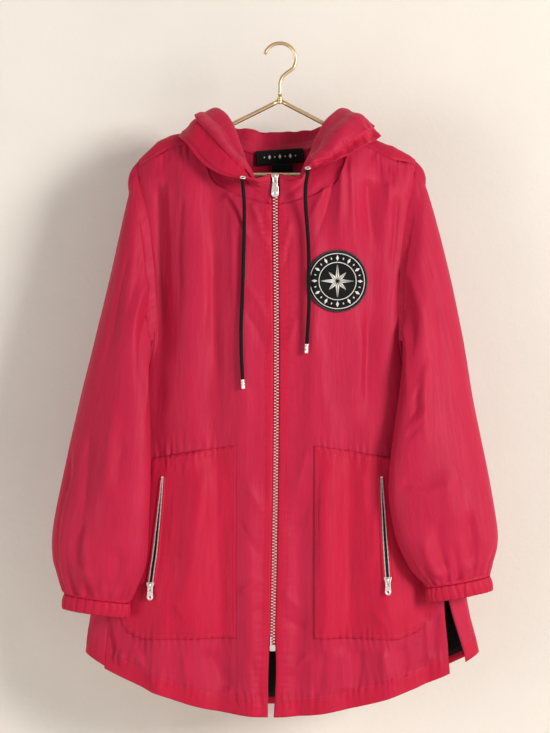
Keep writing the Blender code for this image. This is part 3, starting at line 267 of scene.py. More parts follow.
# Image frame and the camera that matches it
IMAGE_LONG_SIDE = 733 * 1.4 * MM
CAMERA_DISTANCE = 2.6
CAMERA_DROP = 0.4536
CLOTH_PLANE_Y = -0.020


def column(rows, names, wanted):
    return np.array([row[names.index(wanted)] for row in rows], float)


def through(places, values, at):
    """A smooth curve through a table: values at rising places, read at any place."""
    slopes = np.gradient(values, places)
    at = np.clip(np.asarray(at, float), places[0], places[-1])
    i = np.clip(np.searchsorted(places, at) - 1, 0, len(places) - 2)
    step = places[i + 1] - places[i]
    t = (at - places[i]) / step
    curve = values[i] + (values[i + 1] - values[i]) * t * t * (3 - 2 * t)
    return curve + step * (slopes[i] * t * (1 - t) ** 2 + slopes[i + 1] * t * t * (t - 1))


def table(rows, names, wanted, at):
    return through(column(rows, names, names[0]), column(rows, names, wanted), at)


def smooth_step(value):
    value = np.clip(value, 0, 1)
    return value * value * (3 - 2 * value)


def bell(distance, width):
    return np.exp(-((distance / width) ** 2))


def spline(points, count):
    points = np.asarray(points, float)
    places = np.arange(len(points), dtype=float)
    at = np.linspace(0, len(points) - 1, count)
    return np.stack([through(places, points[:, k], at) for k in range(points.shape[1])], axis=1)


def ripple(u, v, seed):
    """Smooth uneven waves over a surface, about -0.7 to 0.7, one wave a unit."""
    size = 64
    turn = np.random.default_rng(seed).random((size, size)) * 2 * np.pi
    u, v = np.broadcast_arrays(np.asarray(u, float), np.asarray(v, float))
    left, top = np.floor(u).astype(int), np.floor(v).astype(int)
    du, dv = u - left, v - top
    ease_u, ease_v = smooth_step(du), smooth_step(dv)
    total = 0
    for i in (0, 1):
        for j in (0, 1):
            angle = turn[(left + i) % size, (top + j) % size]
            lean = np.cos(angle) * (du - i) + np.sin(angle) * (dv - j)
            weight = (ease_u if i else 1 - ease_u) * (ease_v if j else 1 - ease_v)
            total = total + lean * weight
    return total


# Body surface


def shoulder_drop(x):
    reach = np.abs(x)
    end = np.maximum(0, reach - SHOULDER_END_X)
    return NECK_PEAK_DROP + SHOULDER_SLOPE * reach + SHOULDER_END_SLOPE * end


def shoulder_round(x, drop):
    below = np.clip((drop - shoulder_drop(x)) / SHOULDER_ROUND, 0, 1)
    return np.sqrt(1 - (1 - below) ** 2)


def folds(rows, x, drop):
    height = np.zeros(np.broadcast(x, drop).shape)
    for top_x, top_drop, low_x, low_drop, width, fold_height in rows:
        along = np.clip((drop - top_drop) / (low_drop - top_drop), 0, 1)
        middle = top_x + (low_x - top_x) * along
        fade = (4 * along * (1 - along)) ** 0.6
        height = height + fold_height * fade * bell(x - middle, width)
    return height


def yoke_seam_drop(x):
    return YOKE_SEAM_DROP + YOKE_SEAM_SLOPE * (np.abs(x) - NECKLINE_ROWS[-1][0])


def body_sizes(turn, drop):
    left = np.sin(np.radians(turn)) >= 0
    front = np.cos(np.radians(turn)) >= 0
    left_reach = table(BODY_ROWS, BODY_COLUMNS, "left_reach", drop)
    right_reach = table(BODY_ROWS, BODY_COLUMNS, "right_reach", drop)
    front_depth = table(BODY_ROWS, BODY_COLUMNS, "front_depth", drop)
    back_depth = table(BODY_ROWS, BODY_COLUMNS, "back_depth", drop)
    return np.where(left, left_reach, right_reach), np.where(front, front_depth, back_depth)


def body_point(turn, drop, lift=0.0):
    """The outer face of the cloth, at a turn round the body and a drop."""
    turn, drop = np.broadcast_arrays(np.asarray(turn, float), np.asarray(drop, float))
    sine, cosine = np.sin(np.radians(turn)), np.cos(np.radians(turn))
    reach, depth = body_sizes(turn, drop)
    across, deep = np.abs(sine) ** (2 / ROUNDNESS), np.abs(cosine) ** (2 / ROUNDNESS)
    x = np.sign(sine) * reach * across
    depth = depth * shoulder_round(x, drop)
    y = -np.sign(cosine) * depth * deep
    normal_x = np.sign(sine) * across ** (ROUNDNESS - 1) / reach
    normal_y = -np.sign(cosine) * deep ** (ROUNDNESS - 1) / np.maximum(depth, 0.01)
    size = np.hypot(normal_x, normal_y)
    height = np.where(cosine >= 0, folds(FRONT_FOLD_ROWS, x, drop), folds(BACK_FOLD_ROWS, x, drop))
    height = height * smooth_step(np.abs(cosine) * 3) + lift
    return np.stack([x + height * normal_x / size, y + height * normal_y / size, -drop], axis=-1)


def turn_of(x, drop):
    turn = np.where(np.asarray(x) >= 0, 45.0, -45.0)
    reach, _ = body_sizes(turn, drop)
    share = np.clip(np.abs(x) / reach, 0, 0.999)
    return np.sign(turn) * np.degrees(np.arcsin(share ** (ROUNDNESS / 2)))


def front_face(x, drop, lift=0.0):
    return body_point(turn_of(x, drop), drop, lift)


def hem_drop(turn, lowest):
    across = np.abs(np.sin(np.radians(turn))) ** (2 / ROUNDNESS)
    return lowest - HEM_RISE * across ** HEM_CURVE


def spread(drop, side):
    open_share = np.clip((drop - VENT_TOP_DROP) / (VENT_LOW_DROP - VENT_TOP_DROP), 0, 1)
    return VENT_SPREAD[side] * open_share + SIDE_SEAM_GAP_TURN


def edge_turn(drop, side, panel):
    """Turn of a front's or the back's outer edge: the armhole, and the side seam below it."""
    way = -1 if panel == "front" else VENT_BACK_SHARE
    seam = SIDE_SEAM_TURN + way * spread(drop, side)
    armhole = table(ARMHOLE_ROWS, ARMHOLE_COLUMNS, panel + "_turn", np.minimum(drop, UNDERARM_DROP))
    return np.where(drop < UNDERARM_DROP, armhole, seam)


def stations(counts):
    parts = [np.arange(n) / n + i for i, n in enumerate(counts)]
    return np.concatenate([*parts, [float(len(counts))]])


def shoulder_end_x(side):
    reach = table(BODY_ROWS, BODY_COLUMNS, f"{side}_reach", ARMHOLE_ROWS[1][0])
    turn = math.radians(ARMHOLE_ROWS[1][1])
    return float(reach * math.sin(turn) ** (2 / ROUNDNESS))


def front_guides(side, drop):
    sign = SIDES[side]
    zip_x = table(ZIP_LINE_ROWS, ZIP_LINE_COLUMNS, "x", drop)
    gap = table(ZIP_LINE_ROWS, ZIP_LINE_COLUMNS, "half_gap", drop)
    pocket_zip_x = table(POCKET_ZIP_ROWS, POCKET_ZIP_COLUMNS, f"{side}_x", drop)
    return (
        turn_of(zip_x + sign * gap, drop),
        turn_of(sign * POCKET_INNER_X + 0 * drop, drop),
        turn_of(sign * pocket_zip_x, drop),
        sign * edge_turn(drop, side, "front"),
    )


FRONT_COLUMN_COUNTS = (22, 48, 24)
FRONT_ROW_COUNTS = (72, 48, 84, 44)
BACK_COLUMN_COUNT = 130
BACK_ROW_COUNTS = (44, 110, 6)
POCKET_TOP_ROW, POCKET_LOW_ROW = sum(FRONT_ROW_COUNTS[:2]), sum(FRONT_ROW_COUNTS[:3])


def front_net(side):
    """Turns and drops of a front, from its neckline and yoke seam to its hem."""
    across = stations(FRONT_COLUMN_COUNTS)
    guides = (NECKLINE_ROWS[0][0], POCKET_INNER_X, POCKET_ZIP_ROWS[0][1], shoulder_end_x(side))
    top_x = np.interp(across, GUIDES, guides)
    neck = table(NECKLINE_ROWS, NECKLINE_COLUMNS, "drop", top_x)
    top = np.where(top_x < NECKLINE_ROWS[-1][0], neck, yoke_seam_drop(top_x) + SEAM_GAP)
    hem_guides = [abs(float(turn)) for turn in front_guides(side, np.array(FRONT_HEM_DROP))]
    hem = hem_drop(np.interp(across, GUIDES, hem_guides), FRONT_HEM_DROP)
    pocket_x = np.interp(across, GUIDES, POCKET_GUIDE_X)
    pocket_top = table(POCKET_TOP_ROWS, POCKET_TOP_COLUMNS, "drop", pocket_x)
    low_x = column(POCKET_LOW_ROWS, POCKET_LOW_COLUMNS, "x")
    pocket_low = np.interp(pocket_x, low_x, column(POCKET_LOW_ROWS, POCKET_LOW_COLUMNS, "drop"))
    underarm_share = (UNDERARM_DROP - top[-1]) / (pocket_top[-1] - top[-1])
    underarm = top + (pocket_top - top) * underarm_share
    lines = np.stack([top, underarm, pocket_top, pocket_low, hem])
    turns, drops = [], []
    for at in stations(FRONT_ROW_COUNTS):
        above = min(int(at), len(lines) - 2)
        drop = lines[above] + (lines[above + 1] - lines[above]) * (at - above)
        guides = np.stack(front_guides(side, drop))
        even = np.array([np.interp(a, GUIDES, guides[:, c]) for c, a in enumerate(across)])
        settled = smooth_step(at)
        turn = turn_of(SIDES[side] * top_x, drop) * (1 - settled) + even * settled
        turn[-1] = guides[-1, -1]
        turns.append(turn)
        drops.append(drop)
    return np.array(turns), np.array(drops)


def back_net():
    """Turns and drops of the back, from the left side seam round to the right one."""
    top = YOKE_BACK_DROP + SEAM_GAP
    edge_low = hem_drop(SIDE_SEAM_TURN, BACK_HEM_DROP) - HEM_FACING
    underarm_share = (UNDERARM_DROP - top) / (edge_low - top)
    rows = stations(BACK_ROW_COUNTS)
    shares = np.interp(rows, (0, 1, 2), (0, underarm_share, 1))
    facings = np.interp(rows, (2, 3), (HEM_FACING, 0))
    across = np.linspace(0, 1, BACK_COLUMN_COUNT + 1)
    turns, drops = [], []
    for share, facing in zip(shares, facings):
        edge = top + (edge_low + HEM_FACING - facing - top) * share
        left, right = edge_turn(edge, "left", "back"), 360 - edge_turn(edge, "right", "back")
        turn = left + (right - left) * across
        turns.append(turn)
        drops.append(top + (hem_drop(turn, BACK_HEM_DROP) - facing - top) * share)
    return np.array(turns), np.array(drops)


def moved_out(points, height, flip=False):
    """A net's points moved along its own normals."""
    normal = np.cross(np.gradient(points, axis=1), np.gradient(points, axis=0))
    normal = normal / np.maximum(np.linalg.norm(normal, axis=2, keepdims=True), 1e-12)
    height = np.asarray(height)
    if height.ndim == 2:
        height = height[..., None]
    return points + normal * (-height if flip else height)


SHOULDER_RAISE_COLUMNS = ("start", "width", "height")
SHOULDER_RAISE = {"right": (0.115, 0.035, 0.0080), "left": (0.155, 0.045, 0.0138)}
RAISE_END_DROP, RAISE_FADE = 0.31, 0.12


def raised_shoulder(points):
    """The shoulders' ends a little higher, as the hanger's arms hold them."""
    x, drop = points[..., 0], -points[..., 2]
    lift = 0.0
    for side, sign in SIDES.items():
        size = dict(zip(SHOULDER_RAISE_COLUMNS, SHOULDER_RAISE[side]))
        lift = lift + size["height"] * smooth_step((sign * x - size["start"]) / size["width"])
    raised = points.copy()
    raised[..., 2] += lift * smooth_step((RAISE_END_DROP - drop) / RAISE_FADE)
    return raised


# Creases: soft ridges (+) and troughs (-), listed one by one, in millimetres of x and drop

FOLD_EDGE, FOLD_SLOPE = 0.24, 0.85
CREASE_COLUMNS = (
    "from_x", "from_drop", "to_x", "to_drop", "bow", "from_width", "to_width", "height", "head", "tail",
)
RIGHT_FRONT_CREASES = (
    (-166, 196, -160, 470, 4, 9, 15, -5.4, 0.10, 0.40),
    (-150, 190, -146, 430, 3, 6, 9, 1.8, 0.12, 0.50),
    (-128, 205, -131, 395, -3, 4, 6, -1.4, 0.20, 0.40),
    (-103, 230, -99, 470, 4, 9, 13, 2.2, 0.30, 0.50),
    (-84, 250, -80, 520, -3, 6, 8, -2.4, 0.30, 0.40),
    (-62, 225, -58, 430, 3, 5, 7, 1.6, 0.20, 0.50),
    (-74, 214, -14, 296, -6, 6, 11, 2.2, 0.10, 0.50),
    (-64, 212, -10, 262, -4, 4, 8, -1.8, 0.10, 0.50),
    (-36, 224, -9, 316, 4, 4, 9, 1.6, 0.10, 0.60),
    (-20, 232, -7, 250, 1, 2, 4, 0.9, 0.10, 0.30),
    (-22, 248, -7, 268, 1, 2, 4, -0.8, 0.20, 0.30),
    (-24, 266, -7, 290, 1, 3, 4, 0.9, 0.20, 0.30),
    (-40, 340, -8, 402, 3, 5, 8, 1.5, 0.30, 0.40),
    (-44, 372, -9, 440, 3, 4, 7, -1.2, 0.30, 0.40),
    (-46, 610, -14, 668, 3, 5, 8, 1.7, 0.30, 0.40),
    (-52, 660, -16, 722, -3, 4, 7, -1.4, 0.30, 0.40),
    (-50, 770, -14, 745, 2, 5, 6, 1.6, 0.30, 0.30),
    (-48, 800, -12, 782, -2, 4, 6, -1.3, 0.30, 0.30),
    (-240, 806, -222, 862, 3, 6, 9, -3.0, 0.30, 0.30),
    (-228, 800, -206, 874, -3, 5, 9, 2.4, 0.30, 0.30),
    (-204, 842, -158, 912, 4, 8, 12, 2.6, 0.30, 0.20),
    (-190, 838, -170, 905, 3, 5, 8, -1.6, 0.30, 0.20),
    (-100, 842, -66, 908, 5, 9, 13, -3.0, 0.30, 0.20),
    (-130, 842, -122, 900, 2, 5, 8, 1.6, 0.30, 0.30),
    (-36, 850, -20, 925, 3, 5, 8, -1.8, 0.30, 0.20),
)
LEFT_FRONT_CREASES = (
    (74, 182, 32, 268, 6, 4, 10, 2.4, 0.08, 0.50),
    (80, 180, 46, 300, 5, 4, 9, -1.9, 0.08, 0.50),
    (92, 168, 82, 296, 3, 5, 11, 2.6, 0.08, 0.50),
    (100, 164, 100, 270, 2, 4, 8, -1.6, 0.08, 0.50),
    (104, 166, 118, 330, -3, 4, 10, 2.0, 0.08, 0.50),
    (130, 190, 142, 300, -3, 7, 13, -3.6, 0.12, 0.50),
    (158, 196, 154, 250, 2, 5, 8, 2.2, 0.12, 0.50),
    (172, 214, 160, 340, 3, 6, 10, -3.0, 0.15, 0.40),
    (118, 380, 116, 520, 2, 6, 10, 2.0, 0.30, 0.40),
    (132, 360, 128, 540, -2, 6, 9, -2.2, 0.30, 0.40),
    (60, 400, 66, 545, 3, 7, 10, 1.8, 0.30, 0.40),
    (20, 250, 9, 300, 2, 3, 6, 1.2, 0.15, 0.40),
    (22, 270, 9, 330, 2, 3, 5, -1.0, 0.20, 0.40),
    (30, 380, 10, 436, 2, 4, 7, 1.3, 0.30, 0.40),
    (44, 566, 22, 640, 3, 5, 9, 1.8, 0.20, 0.40),
    (48, 640, 14, 690, 3, 4, 8, -1.6, 0.30, 0.40),
    (42, 790, 10, 762, 3, 5, 7, 1.8, 0.30, 0.30),
    (44, 822, 8, 800, -2, 5, 7, -1.6, 0.30, 0.30),
    (50, 845, 18, 880, 3, 5, 7, 2.0, 0.30, 0.30),
    (66, 842, 58, 916, 2, 6, 10, -2.6, 0.25, 0.20),
    (88, 842, 94, 910, 2, 6, 10, 2.4, 0.25, 0.20),
    (116, 842, 114, 904, 2, 6, 9, -2.2, 0.25, 0.20),
    (146, 842, 152, 896, 2, 6, 9, 2.4, 0.25, 0.20),
    (176, 836, 182, 886, 2, 5, 8, -2.0, 0.25, 0.20),
    (206, 800, 214, 872, 2, 6, 9, 2.4, 0.25, 0.20),
    (226, 790, 222, 862, -2, 5, 8, -2.0, 0.25, 0.20),
)
BACK_CREASES = (
    (-150, 262, -168, 540, 4, 8, 13, -3.2, 0.10, 0.40),
    (-110, 250, -118, 470, -3, 6, 11, 2.2, 0.05, 0.50),
    (-92, 248, -96, 430, 3, 5, 9, -1.8, 0.05, 0.50),
    (-40, 248, -34, 560, -3, 7, 12, 2.4, 0.05, 0.50),
    (-20, 300, -28, 620, 3, 5, 9, -1.8, 0.20, 0.40),
    (24, 250, 30, 480, 2, 6, 11, 2.0, 0.05, 0.50),
    (48, 250, 44, 410, -2, 5, 9, -1.6, 0.05, 0.50),
    (90, 250, 98, 520, 3, 7, 12, 2.4, 0.05, 0.50),
    (146, 262, 164, 540, -4, 8, 13, -3.2, 0.10, 0.40),
    (-190, 560, -200, 830, 4, 8, 12, 2.6, 0.30, 0.30),
    (-130, 600, -120, 880, -4, 7, 11, -2.4, 0.30, 0.30),
    (-60, 640, -66, 890, 3, 6, 11, 2.2, 0.30, 0.30),
    (16, 620, 8, 890, 3, 7, 12, -2.2, 0.30, 0.30),
    (96, 580, 110, 880, -3, 7, 12, 2.4, 0.30, 0.30),
    (190, 560, 206, 820, -4, 8, 12, -2.4, 0.30, 0.30),
)
RIGHT_POCKET_CREASES = (
    (-100, 590, -132, 806, 4, 14, 22, 3.0, 0.20, 0.20),
    (-92, 640, -108, 815, -4, 8, 13, -1.0, 0.30, 0.30),
    (-72, 590, -78, 700, 2, 5, 9, 1.2, 0.20, 0.50),
    (-138, 620, -146, 720, 2, 4, 7, 1.0, 0.30, 0.40),
    (-150, 770, -120, 812, 3, 5, 8, 1.4, 0.30, 0.30),
)
LEFT_POCKET_CREASES = (
    (66, 590, 60, 780, 3, 7, 11, 1.8, 0.20, 0.40),
    (118, 590, 124, 700, 3, 6, 10, 1.4, 0.20, 0.50),
    (96, 640, 104, 815, 4, 8, 12, -0.9, 0.30, 0.30),
    (136, 640, 132, 760, 2, 4, 7, 1.0, 0.30, 0.40),
    (132, 790, 156, 816, 2, 5, 7, 1.4, 0.30, 0.30),
)


def fold_line(aside, width):
    """A crease across its run: a narrow rounded edge between two soft planes."""
    edge = FOLD_EDGE * width
    return np.exp((edge - np.hypot(aside, edge)) / (FOLD_SLOPE * width))


def creases(rows, x, drop):
    """Height in metres of the creases at places given in millimetres."""
    height = np.zeros(np.broadcast(x, drop).shape)
    for row in rows:
        size = dict(zip(CREASE_COLUMNS, row))
        run_x, run_drop = size["to_x"] - size["from_x"], size["to_drop"] - size["from_drop"]
        length = math.hypot(run_x, run_drop)
        along_mm = ((x - size["from_x"]) * run_x + (drop - size["from_drop"]) * run_drop) / length
        aside = ((x - size["from_x"]) * run_drop - (drop - size["from_drop"]) * run_x) / length
        along = along_mm / length
        inside = np.clip(along, 0, 1)
        aside = aside - size["bow"] * 4 * inside * (1 - inside)
        width = size["from_width"] + (size["to_width"] - size["from_width"]) * inside
        fade = smooth_step(along / size["head"]) * smooth_step((1 - along) / size["tail"])
        height = height + size["height"] * fade * fold_line(aside, width)
    return height * MM


GATHER_FLARE = 1.6
GATHER_FADES = (0.02, 0.75)


def gathers(seed, count, start, end, reach, width, height):
    """Uneven gathers that run away from a seam: narrow valleys as rows of the crease table, in mm."""
    draw = np.random.default_rng(seed)
    rows = []
    for n in range(count):
        share = (n + 0.5 + draw.uniform(-0.3, 0.3)) / count
        at = np.array(start) + (np.array(end) - np.array(start)) * share
        way = np.array(reach) * draw.uniform(0.45, 1.25)
        lean = draw.uniform(-0.10, 0.10) * np.hypot(*way)
        deep = -height * draw.uniform(0.5, 1.3)
        wide = width * draw.uniform(0.75, 1.3)
        to_x, to_drop = at[0] + way[0] + lean, at[1] + way[1]
        rows.append((at[0], at[1], to_x, to_drop, 0, wide, wide * GATHER_FLARE, deep, *GATHER_FADES))
    return tuple(rows)


YOKE_GATHERS = {
    "left": gathers(11, 11, (127, 147), (186, 176), (1, 52), 2.0, 3.6),
    "right": gathers(12, 6, (-166, 166), (-120, 142), (-1, 38), 2.2, 2.6),
}
WAIST_GATHERS = {
    "right": gathers(21, 9, (-178, 582), (-96, 570), (0, -44), 2.6, 2.4),
    "left": gathers(22, 7, (96, 570), (180, 583), (0, -36), 2.6, 1.9),
}
POCKET_GATHERS = {
    "right": gathers(31, 12, (-186, 584), (-108, 572), (2, 36), 2.1, -3.0),
    "left": gathers(32, 10, (112, 572), (186, 584), (0, 32), 2.1, -2.5),
}
BACK_GATHERS = gathers(41, 26, (-150, 242), (150, 242), (0, 44), 2.4, 2.0)
FOLD_GAIN = 1.8
PUCKER_PITCH = 9.0


def crinkle(u, v, seed):
    """Fine lengthwise crinkle of thin nylon, in metres; u runs across the grain, v along it, in mm."""
    sway = 5 * ripple(u / 45, v / 90, seed)
    fine = ripple((u + sway) / 8, v / 62, seed + 1)
    finer = ripple((u + sway) / 4.2, v / 34, seed + 2)
    broad = ripple((u + sway) / 21, v / 130, seed + 3)
    patch = 0.55 + 0.6 * ripple(u / 60, v / 80, seed + 4)
    return (0.62 * broad + 0.36 * (1 - 2.4 * np.abs(fine)) + 0.14 * finer) * patch * MM


def groove(distance, width, depth):
    return -depth * bell(distance, width)


def seam_pucker(distance, along, reach, height, seed):
    """Small puckers beside a stitched line."""
    lobes = np.abs(np.sin(np.pi * (along / PUCKER_PITCH + 0.9 * ripple(along / 26, distance / 40, seed))))
    uneven = np.clip(0.8 + 1.1 * ripple(along / 34, distance / 60, seed + 1), 0.15, None)
    return height * uneven * (lobes ** 0.7 - 0.6) * bell(distance, reach)


# Meshes


def link(obj):
    bpy.context.scene.collection.objects.link(obj)
    return obj


def plain_mesh(name, vertices, faces, finish, smooth=True):
    mesh = bpy.data.meshes.new(name)
    mesh.from_pydata([tuple(v) for v in vertices], [], [tuple(f) for f in faces])
    if smooth:
        mesh.shade_smooth()
    mesh.materials.append(finish)
    return link(bpy.data.objects.new(name, mesh))


def net_faces(rows, columns, closed, flip):
    wrap = columns if closed else columns - 1
    r, c = np.meshgrid(np.arange(rows - 1), np.arange(wrap), indexing="ij")
    after = (c + 1) % columns
    here, below = r * columns, (r + 1) * columns
    quads = np.stack([here + c, here + after, below + after, below + c], axis=-1)
    corner_u = np.stack([c, c + 1, c + 1, c], axis=-1)
    corner_v = np.stack([r, r, r + 1, r + 1], axis=-1)
    if flip:
        quads, corner_u, corner_v = quads[..., ::-1], corner_u[..., ::-1], corner_v[..., ::-1]
    return quads.reshape(-1, 4), corner_u.reshape(-1), corner_v.reshape(-1)


def run_lengths(points, axis):
    steps = np.linalg.norm(np.diff(points, axis=axis), axis=2).mean(axis=1 - axis)
    return np.concatenate([[0.0], np.cumsum(steps)])


def cloth_piece(name, points, finish, doubled=0.0, closed=False, flip=False, wall=CLOTH_WALL):
    """A thin cloth shell on a net of points, with its weave's own map in metres."""
    rows, columns = points.shape[:2]
    faces, corner_u, corner_v = net_faces(rows, columns, closed, flip)
    world = points + ON_GARMENT
    mesh = bpy.data.meshes.new(name)
    mesh.from_pydata(world.reshape(-1, 3).tolist(), [], faces.tolist())
    mesh.shade_smooth()
    around = np.concatenate([points, points[:, :1]], axis=1) if closed else points
    u, v = run_lengths(around, 1), run_lengths(points, 0)
    weave = mesh.uv_layers.new(name="weave")
    weave.data.foreach_set("uv", np.stack([u[corner_u], v[corner_v]], axis=1).astype(np.float32).ravel())
    layer = mesh.attributes.new("doubled", "FLOAT", "POINT")
    share = np.broadcast_to(np.asarray(doubled, float), (rows, columns)).astype(np.float32)
    layer.data.foreach_set("value", share.ravel())
    mesh.materials.append(finish)
    piece = link(bpy.data.objects.new(name, mesh))
    shell = piece.modifiers.new("wall", "SOLIDIFY")
    shell.thickness = wall
    shell.offset = -1.0
    return piece


STITCH_LINES = []
STITCH_LIFT = 0.00015
STITCH_PITCH = 0.0034
STITCH_UNEVENNESS = 0.00006


def settle(piece, nodes, body="garment"):
    """Puts a piece on its body, in place of the solids that it stands for."""
    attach(piece, body)
    if nodes:
        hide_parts(*nodes)
    return piece


def tube_mesh(name, path, radius, finish, sides=16, closed=False, on_garment=True):
    """A round wire or bar along a path, closed or with flat ends."""
    path = np.asarray(path, float)
    ways = np.gradient(path, axis=0)
    ways = ways / np.linalg.norm(ways, axis=1, keepdims=True)
    if closed:
        ways = np.roll(path, -1, axis=0) - np.roll(path, 1, axis=0)
        ways = ways / np.linalg.norm(ways, axis=1, keepdims=True)
    aside = np.cross(ways[0], (0.0, 1.0, 0.02))
    rings = []
    radii = np.broadcast_to(np.asarray(radius, float), (len(path),))
    angles = np.arange(sides) * 2 * np.pi / sides
    for at, way, size in zip(path, ways, radii):
        aside = aside - way * aside.dot(way)
        aside = aside / np.linalg.norm(aside)
        up = np.cross(way, aside)
        rings.append(at + size * (np.cos(angles)[:, None] * aside + np.sin(angles)[:, None] * up))
    rings = np.array(rings)
    vertices = rings.reshape(-1, 3)
    count = len(path)
    faces = []
    for r in range(count if closed else count - 1):
        below = (r + 1) % count
        for c in range(sides):
            after = (c + 1) % sides
            faces.append((r * sides + c, r * sides + after, below * sides + after, below * sides + c))
    if not closed:
        faces.append(tuple(range(sides))[::-1])
        faces.append(tuple((count - 1) * sides + c for c in range(sides)))
    world = vertices + ON_GARMENT if on_garment else vertices
    obj = plain_mesh(name, world, faces, finish)
    outward(obj.data)
    return obj


def outward(mesh):
    """Merges doubled points of a closed mesh, turns its faces outwards and shades it smooth."""
    shape = bmesh.new()
    shape.from_mesh(mesh)
    bmesh.ops.remove_doubles(shape, verts=shape.verts, dist=1e-7)
    bmesh.ops.recalc_face_normals(shape, faces=shape.faces)
    shape.to_mesh(mesh)
    shape.free()
    mesh.shade_smooth()


def rounded_ends(path, radius, steps=4):
    """A path and radii whose ends close in a half round."""
    path = np.asarray(path, float)
    first = (path[1] - path[0]) / np.linalg.norm(path[1] - path[0])
    last = (path[-1] - path[-2]) / np.linalg.norm(path[-1] - path[-2])
    turns = np.linspace(0, np.pi / 2, steps + 1)
    head = [path[0] + first * radius * (1 - math.cos(t)) for t in turns]
    tail = [path[-1] - last * radius * (1 - math.cos(t)) for t in turns[::-1]]
    sizes = [max(radius * math.sin(t), radius * 0.12) for t in turns]
    middle = path[1:-1]
    full = np.concatenate([head, middle, tail])
    radii = np.concatenate([sizes, np.full(len(middle), radius), sizes[::-1]])
    return full, radii


# Materials


def shader_group(name, inputs, outputs):
    """An empty shader group with named inputs and outputs."""
    group = bpy.data.node_groups.new(name, "ShaderNodeTree")
    for label, kind, value in inputs:
        socket = group.interface.new_socket(label, in_out="INPUT", socket_type=kind)
        socket.default_value = value
    for label, kind in outputs:
        group.interface.new_socket(label, in_out="OUTPUT", socket_type=kind)
    return group, group.nodes.new("NodeGroupInput"), group.nodes.new("NodeGroupOutput")


def add(tree, kind, **values):
    node = tree.nodes.new(kind)
    for key, value in values.items():
        setattr(node, key, value)
    return node


def math_node(tree, operation, first, second=None):
    node = add(tree, "ShaderNodeMath", operation=operation)
    for socket, value in zip(node.inputs, (first, second)):
        if value is None:
            continue
        if isinstance(value, (int, float)):
            socket.default_value = value
        else:
            tree.links.new(value, socket)
    return node.outputs[0]


def mix_colour(tree, share, first, second, blend="MIX"):
    node = add(tree, "ShaderNodeMix", data_type="RGBA", blend_type=blend)
    for socket, value in ((node.inputs[0], share), (node.inputs[6], first), (node.inputs[7], second)):
        if isinstance(value, (int, float)):
            socket.default_value = value
        elif isinstance(value, tuple):
            socket.default_value = value
        else:
            tree.links.new(value, socket)
    return node.outputs[2]


def noise_node(tree, vector, scale, detail=2.0, rough=0.5):
    node = add(tree, "ShaderNodeTexNoise")
    node.inputs["Scale"].default_value = scale
    node.inputs["Detail"].default_value = detail
    node.inputs["Roughness"].default_value = rough
    tree.links.new(vector, node.inputs["Vector"])
    return node.outputs["Fac"]


def stretched(tree, vector, scale):
    node = add(tree, "ShaderNodeMapping")
    node.inputs["Scale"].default_value = scale
    tree.links.new(vector, node.inputs["Vector"])
    return node.outputs[0]


def spread_values(tree, value, low, high, to_low=0.0, to_high=1.0):
    node = add(tree, "ShaderNodeMapRange")
    for label, number in (("From Min", low), ("From Max", high), ("To Min", to_low), ("To Max", to_high)):
        node.inputs[label].default_value = number
    tree.links.new(value, node.inputs["Value"])
    return node.outputs[0]


def crinkled_weave_group():
    """Thin plain weave: threads, lengthwise crinkle and slow changes of shade, from a map in metres."""
    group, start, end = shader_group(
        "crinkled_weave",
        (("Map", "NodeSocketVector", (0, 0, 0)), ("Thread Count", "NodeSocketFloat", 1500.0),
         ("Crinkle", "NodeSocketFloat", 1.0)),
        (("Height", "NodeSocketFloat"), ("Shade", "NodeSocketFloat"), ("Streak", "NodeSocketFloat")),
    )
    where = start.outputs["Map"]
    parts = add(group, "ShaderNodeSeparateXYZ")
    group.links.new(where, parts.inputs[0])
    threads = []
    for axis in ("X", "Y"):
        turn = math_node(group, "MULTIPLY", parts.outputs[axis], start.outputs["Thread Count"])
        threads.append(math_node(group, "SINE", turn))
    weave = math_node(group, "MULTIPLY", threads[0], threads[1])
    long_noise = noise_node(group, stretched(group, where, (170.0, 17.0, 1.0)), 1.0, 3.0, 0.6)
    fine_noise = noise_node(group, stretched(group, where, (420.0, 60.0, 1.0)), 1.0, 2.0, 0.5)
    slow = noise_node(group, stretched(group, where, (11.0, 5.0, 1.0)), 1.0, 3.0, 0.55)
    ridge = math_node(group, "ABSOLUTE", math_node(group, "SUBTRACT", long_noise, 0.5))
    ridges = math_node(group, "MULTIPLY", ridge, -1.6)
    crinkled = math_node(group, "ADD", ridges, math_node(group, "MULTIPLY", fine_noise, 0.5))
    crinkled = math_node(group, "MULTIPLY", crinkled, start.outputs["Crinkle"])
    height = math_node(group, "ADD", crinkled, math_node(group, "MULTIPLY", weave, 0.03))
    group.links.new(height, end.inputs["Height"])
    group.links.new(spread_values(group, slow, 0.3, 0.7), end.inputs["Shade"])
    # Streak follows the crinkle's lengthwise noise; a colour tinted by it is painted crinkle shading, and
    # roughness read from it is the weave's own gloss.
    group.links.new(spread_values(group, long_noise, 0.32, 0.68), end.inputs["Streak"])
    return group


def new_material(name, **sockets):
    made = bpy.data.materials.new(name)
    made.use_nodes = True
    shader = made.node_tree.nodes["Principled BSDF"]
    for label, value in sockets.items():
        shader.inputs[label.replace("_", " ")].default_value = value
    return made, made.node_tree, shader


def use_group(tree, group, **values):
    node = add(tree, "ShaderNodeGroup", node_tree=group)
    for label, value in values.items():
        node.inputs[label.replace("_", " ")].default_value = value
    return node


def bump_into(tree, shader, height, strength, distance):
    bump = add(tree, "ShaderNodeBump")
    bump.inputs["Strength"].default_value = strength
    bump.inputs["Distance"].default_value = distance
    tree.links.new(height, bump.inputs["Height"])
    tree.links.new(bump.outputs[0], shader.inputs["Normal"])


def weave_map(tree):
    return add(tree, "ShaderNodeUVMap", uv_map="weave").outputs[0]


def object_map(tree):
    return add(tree, "ShaderNodeTexCoord").outputs["Object"]


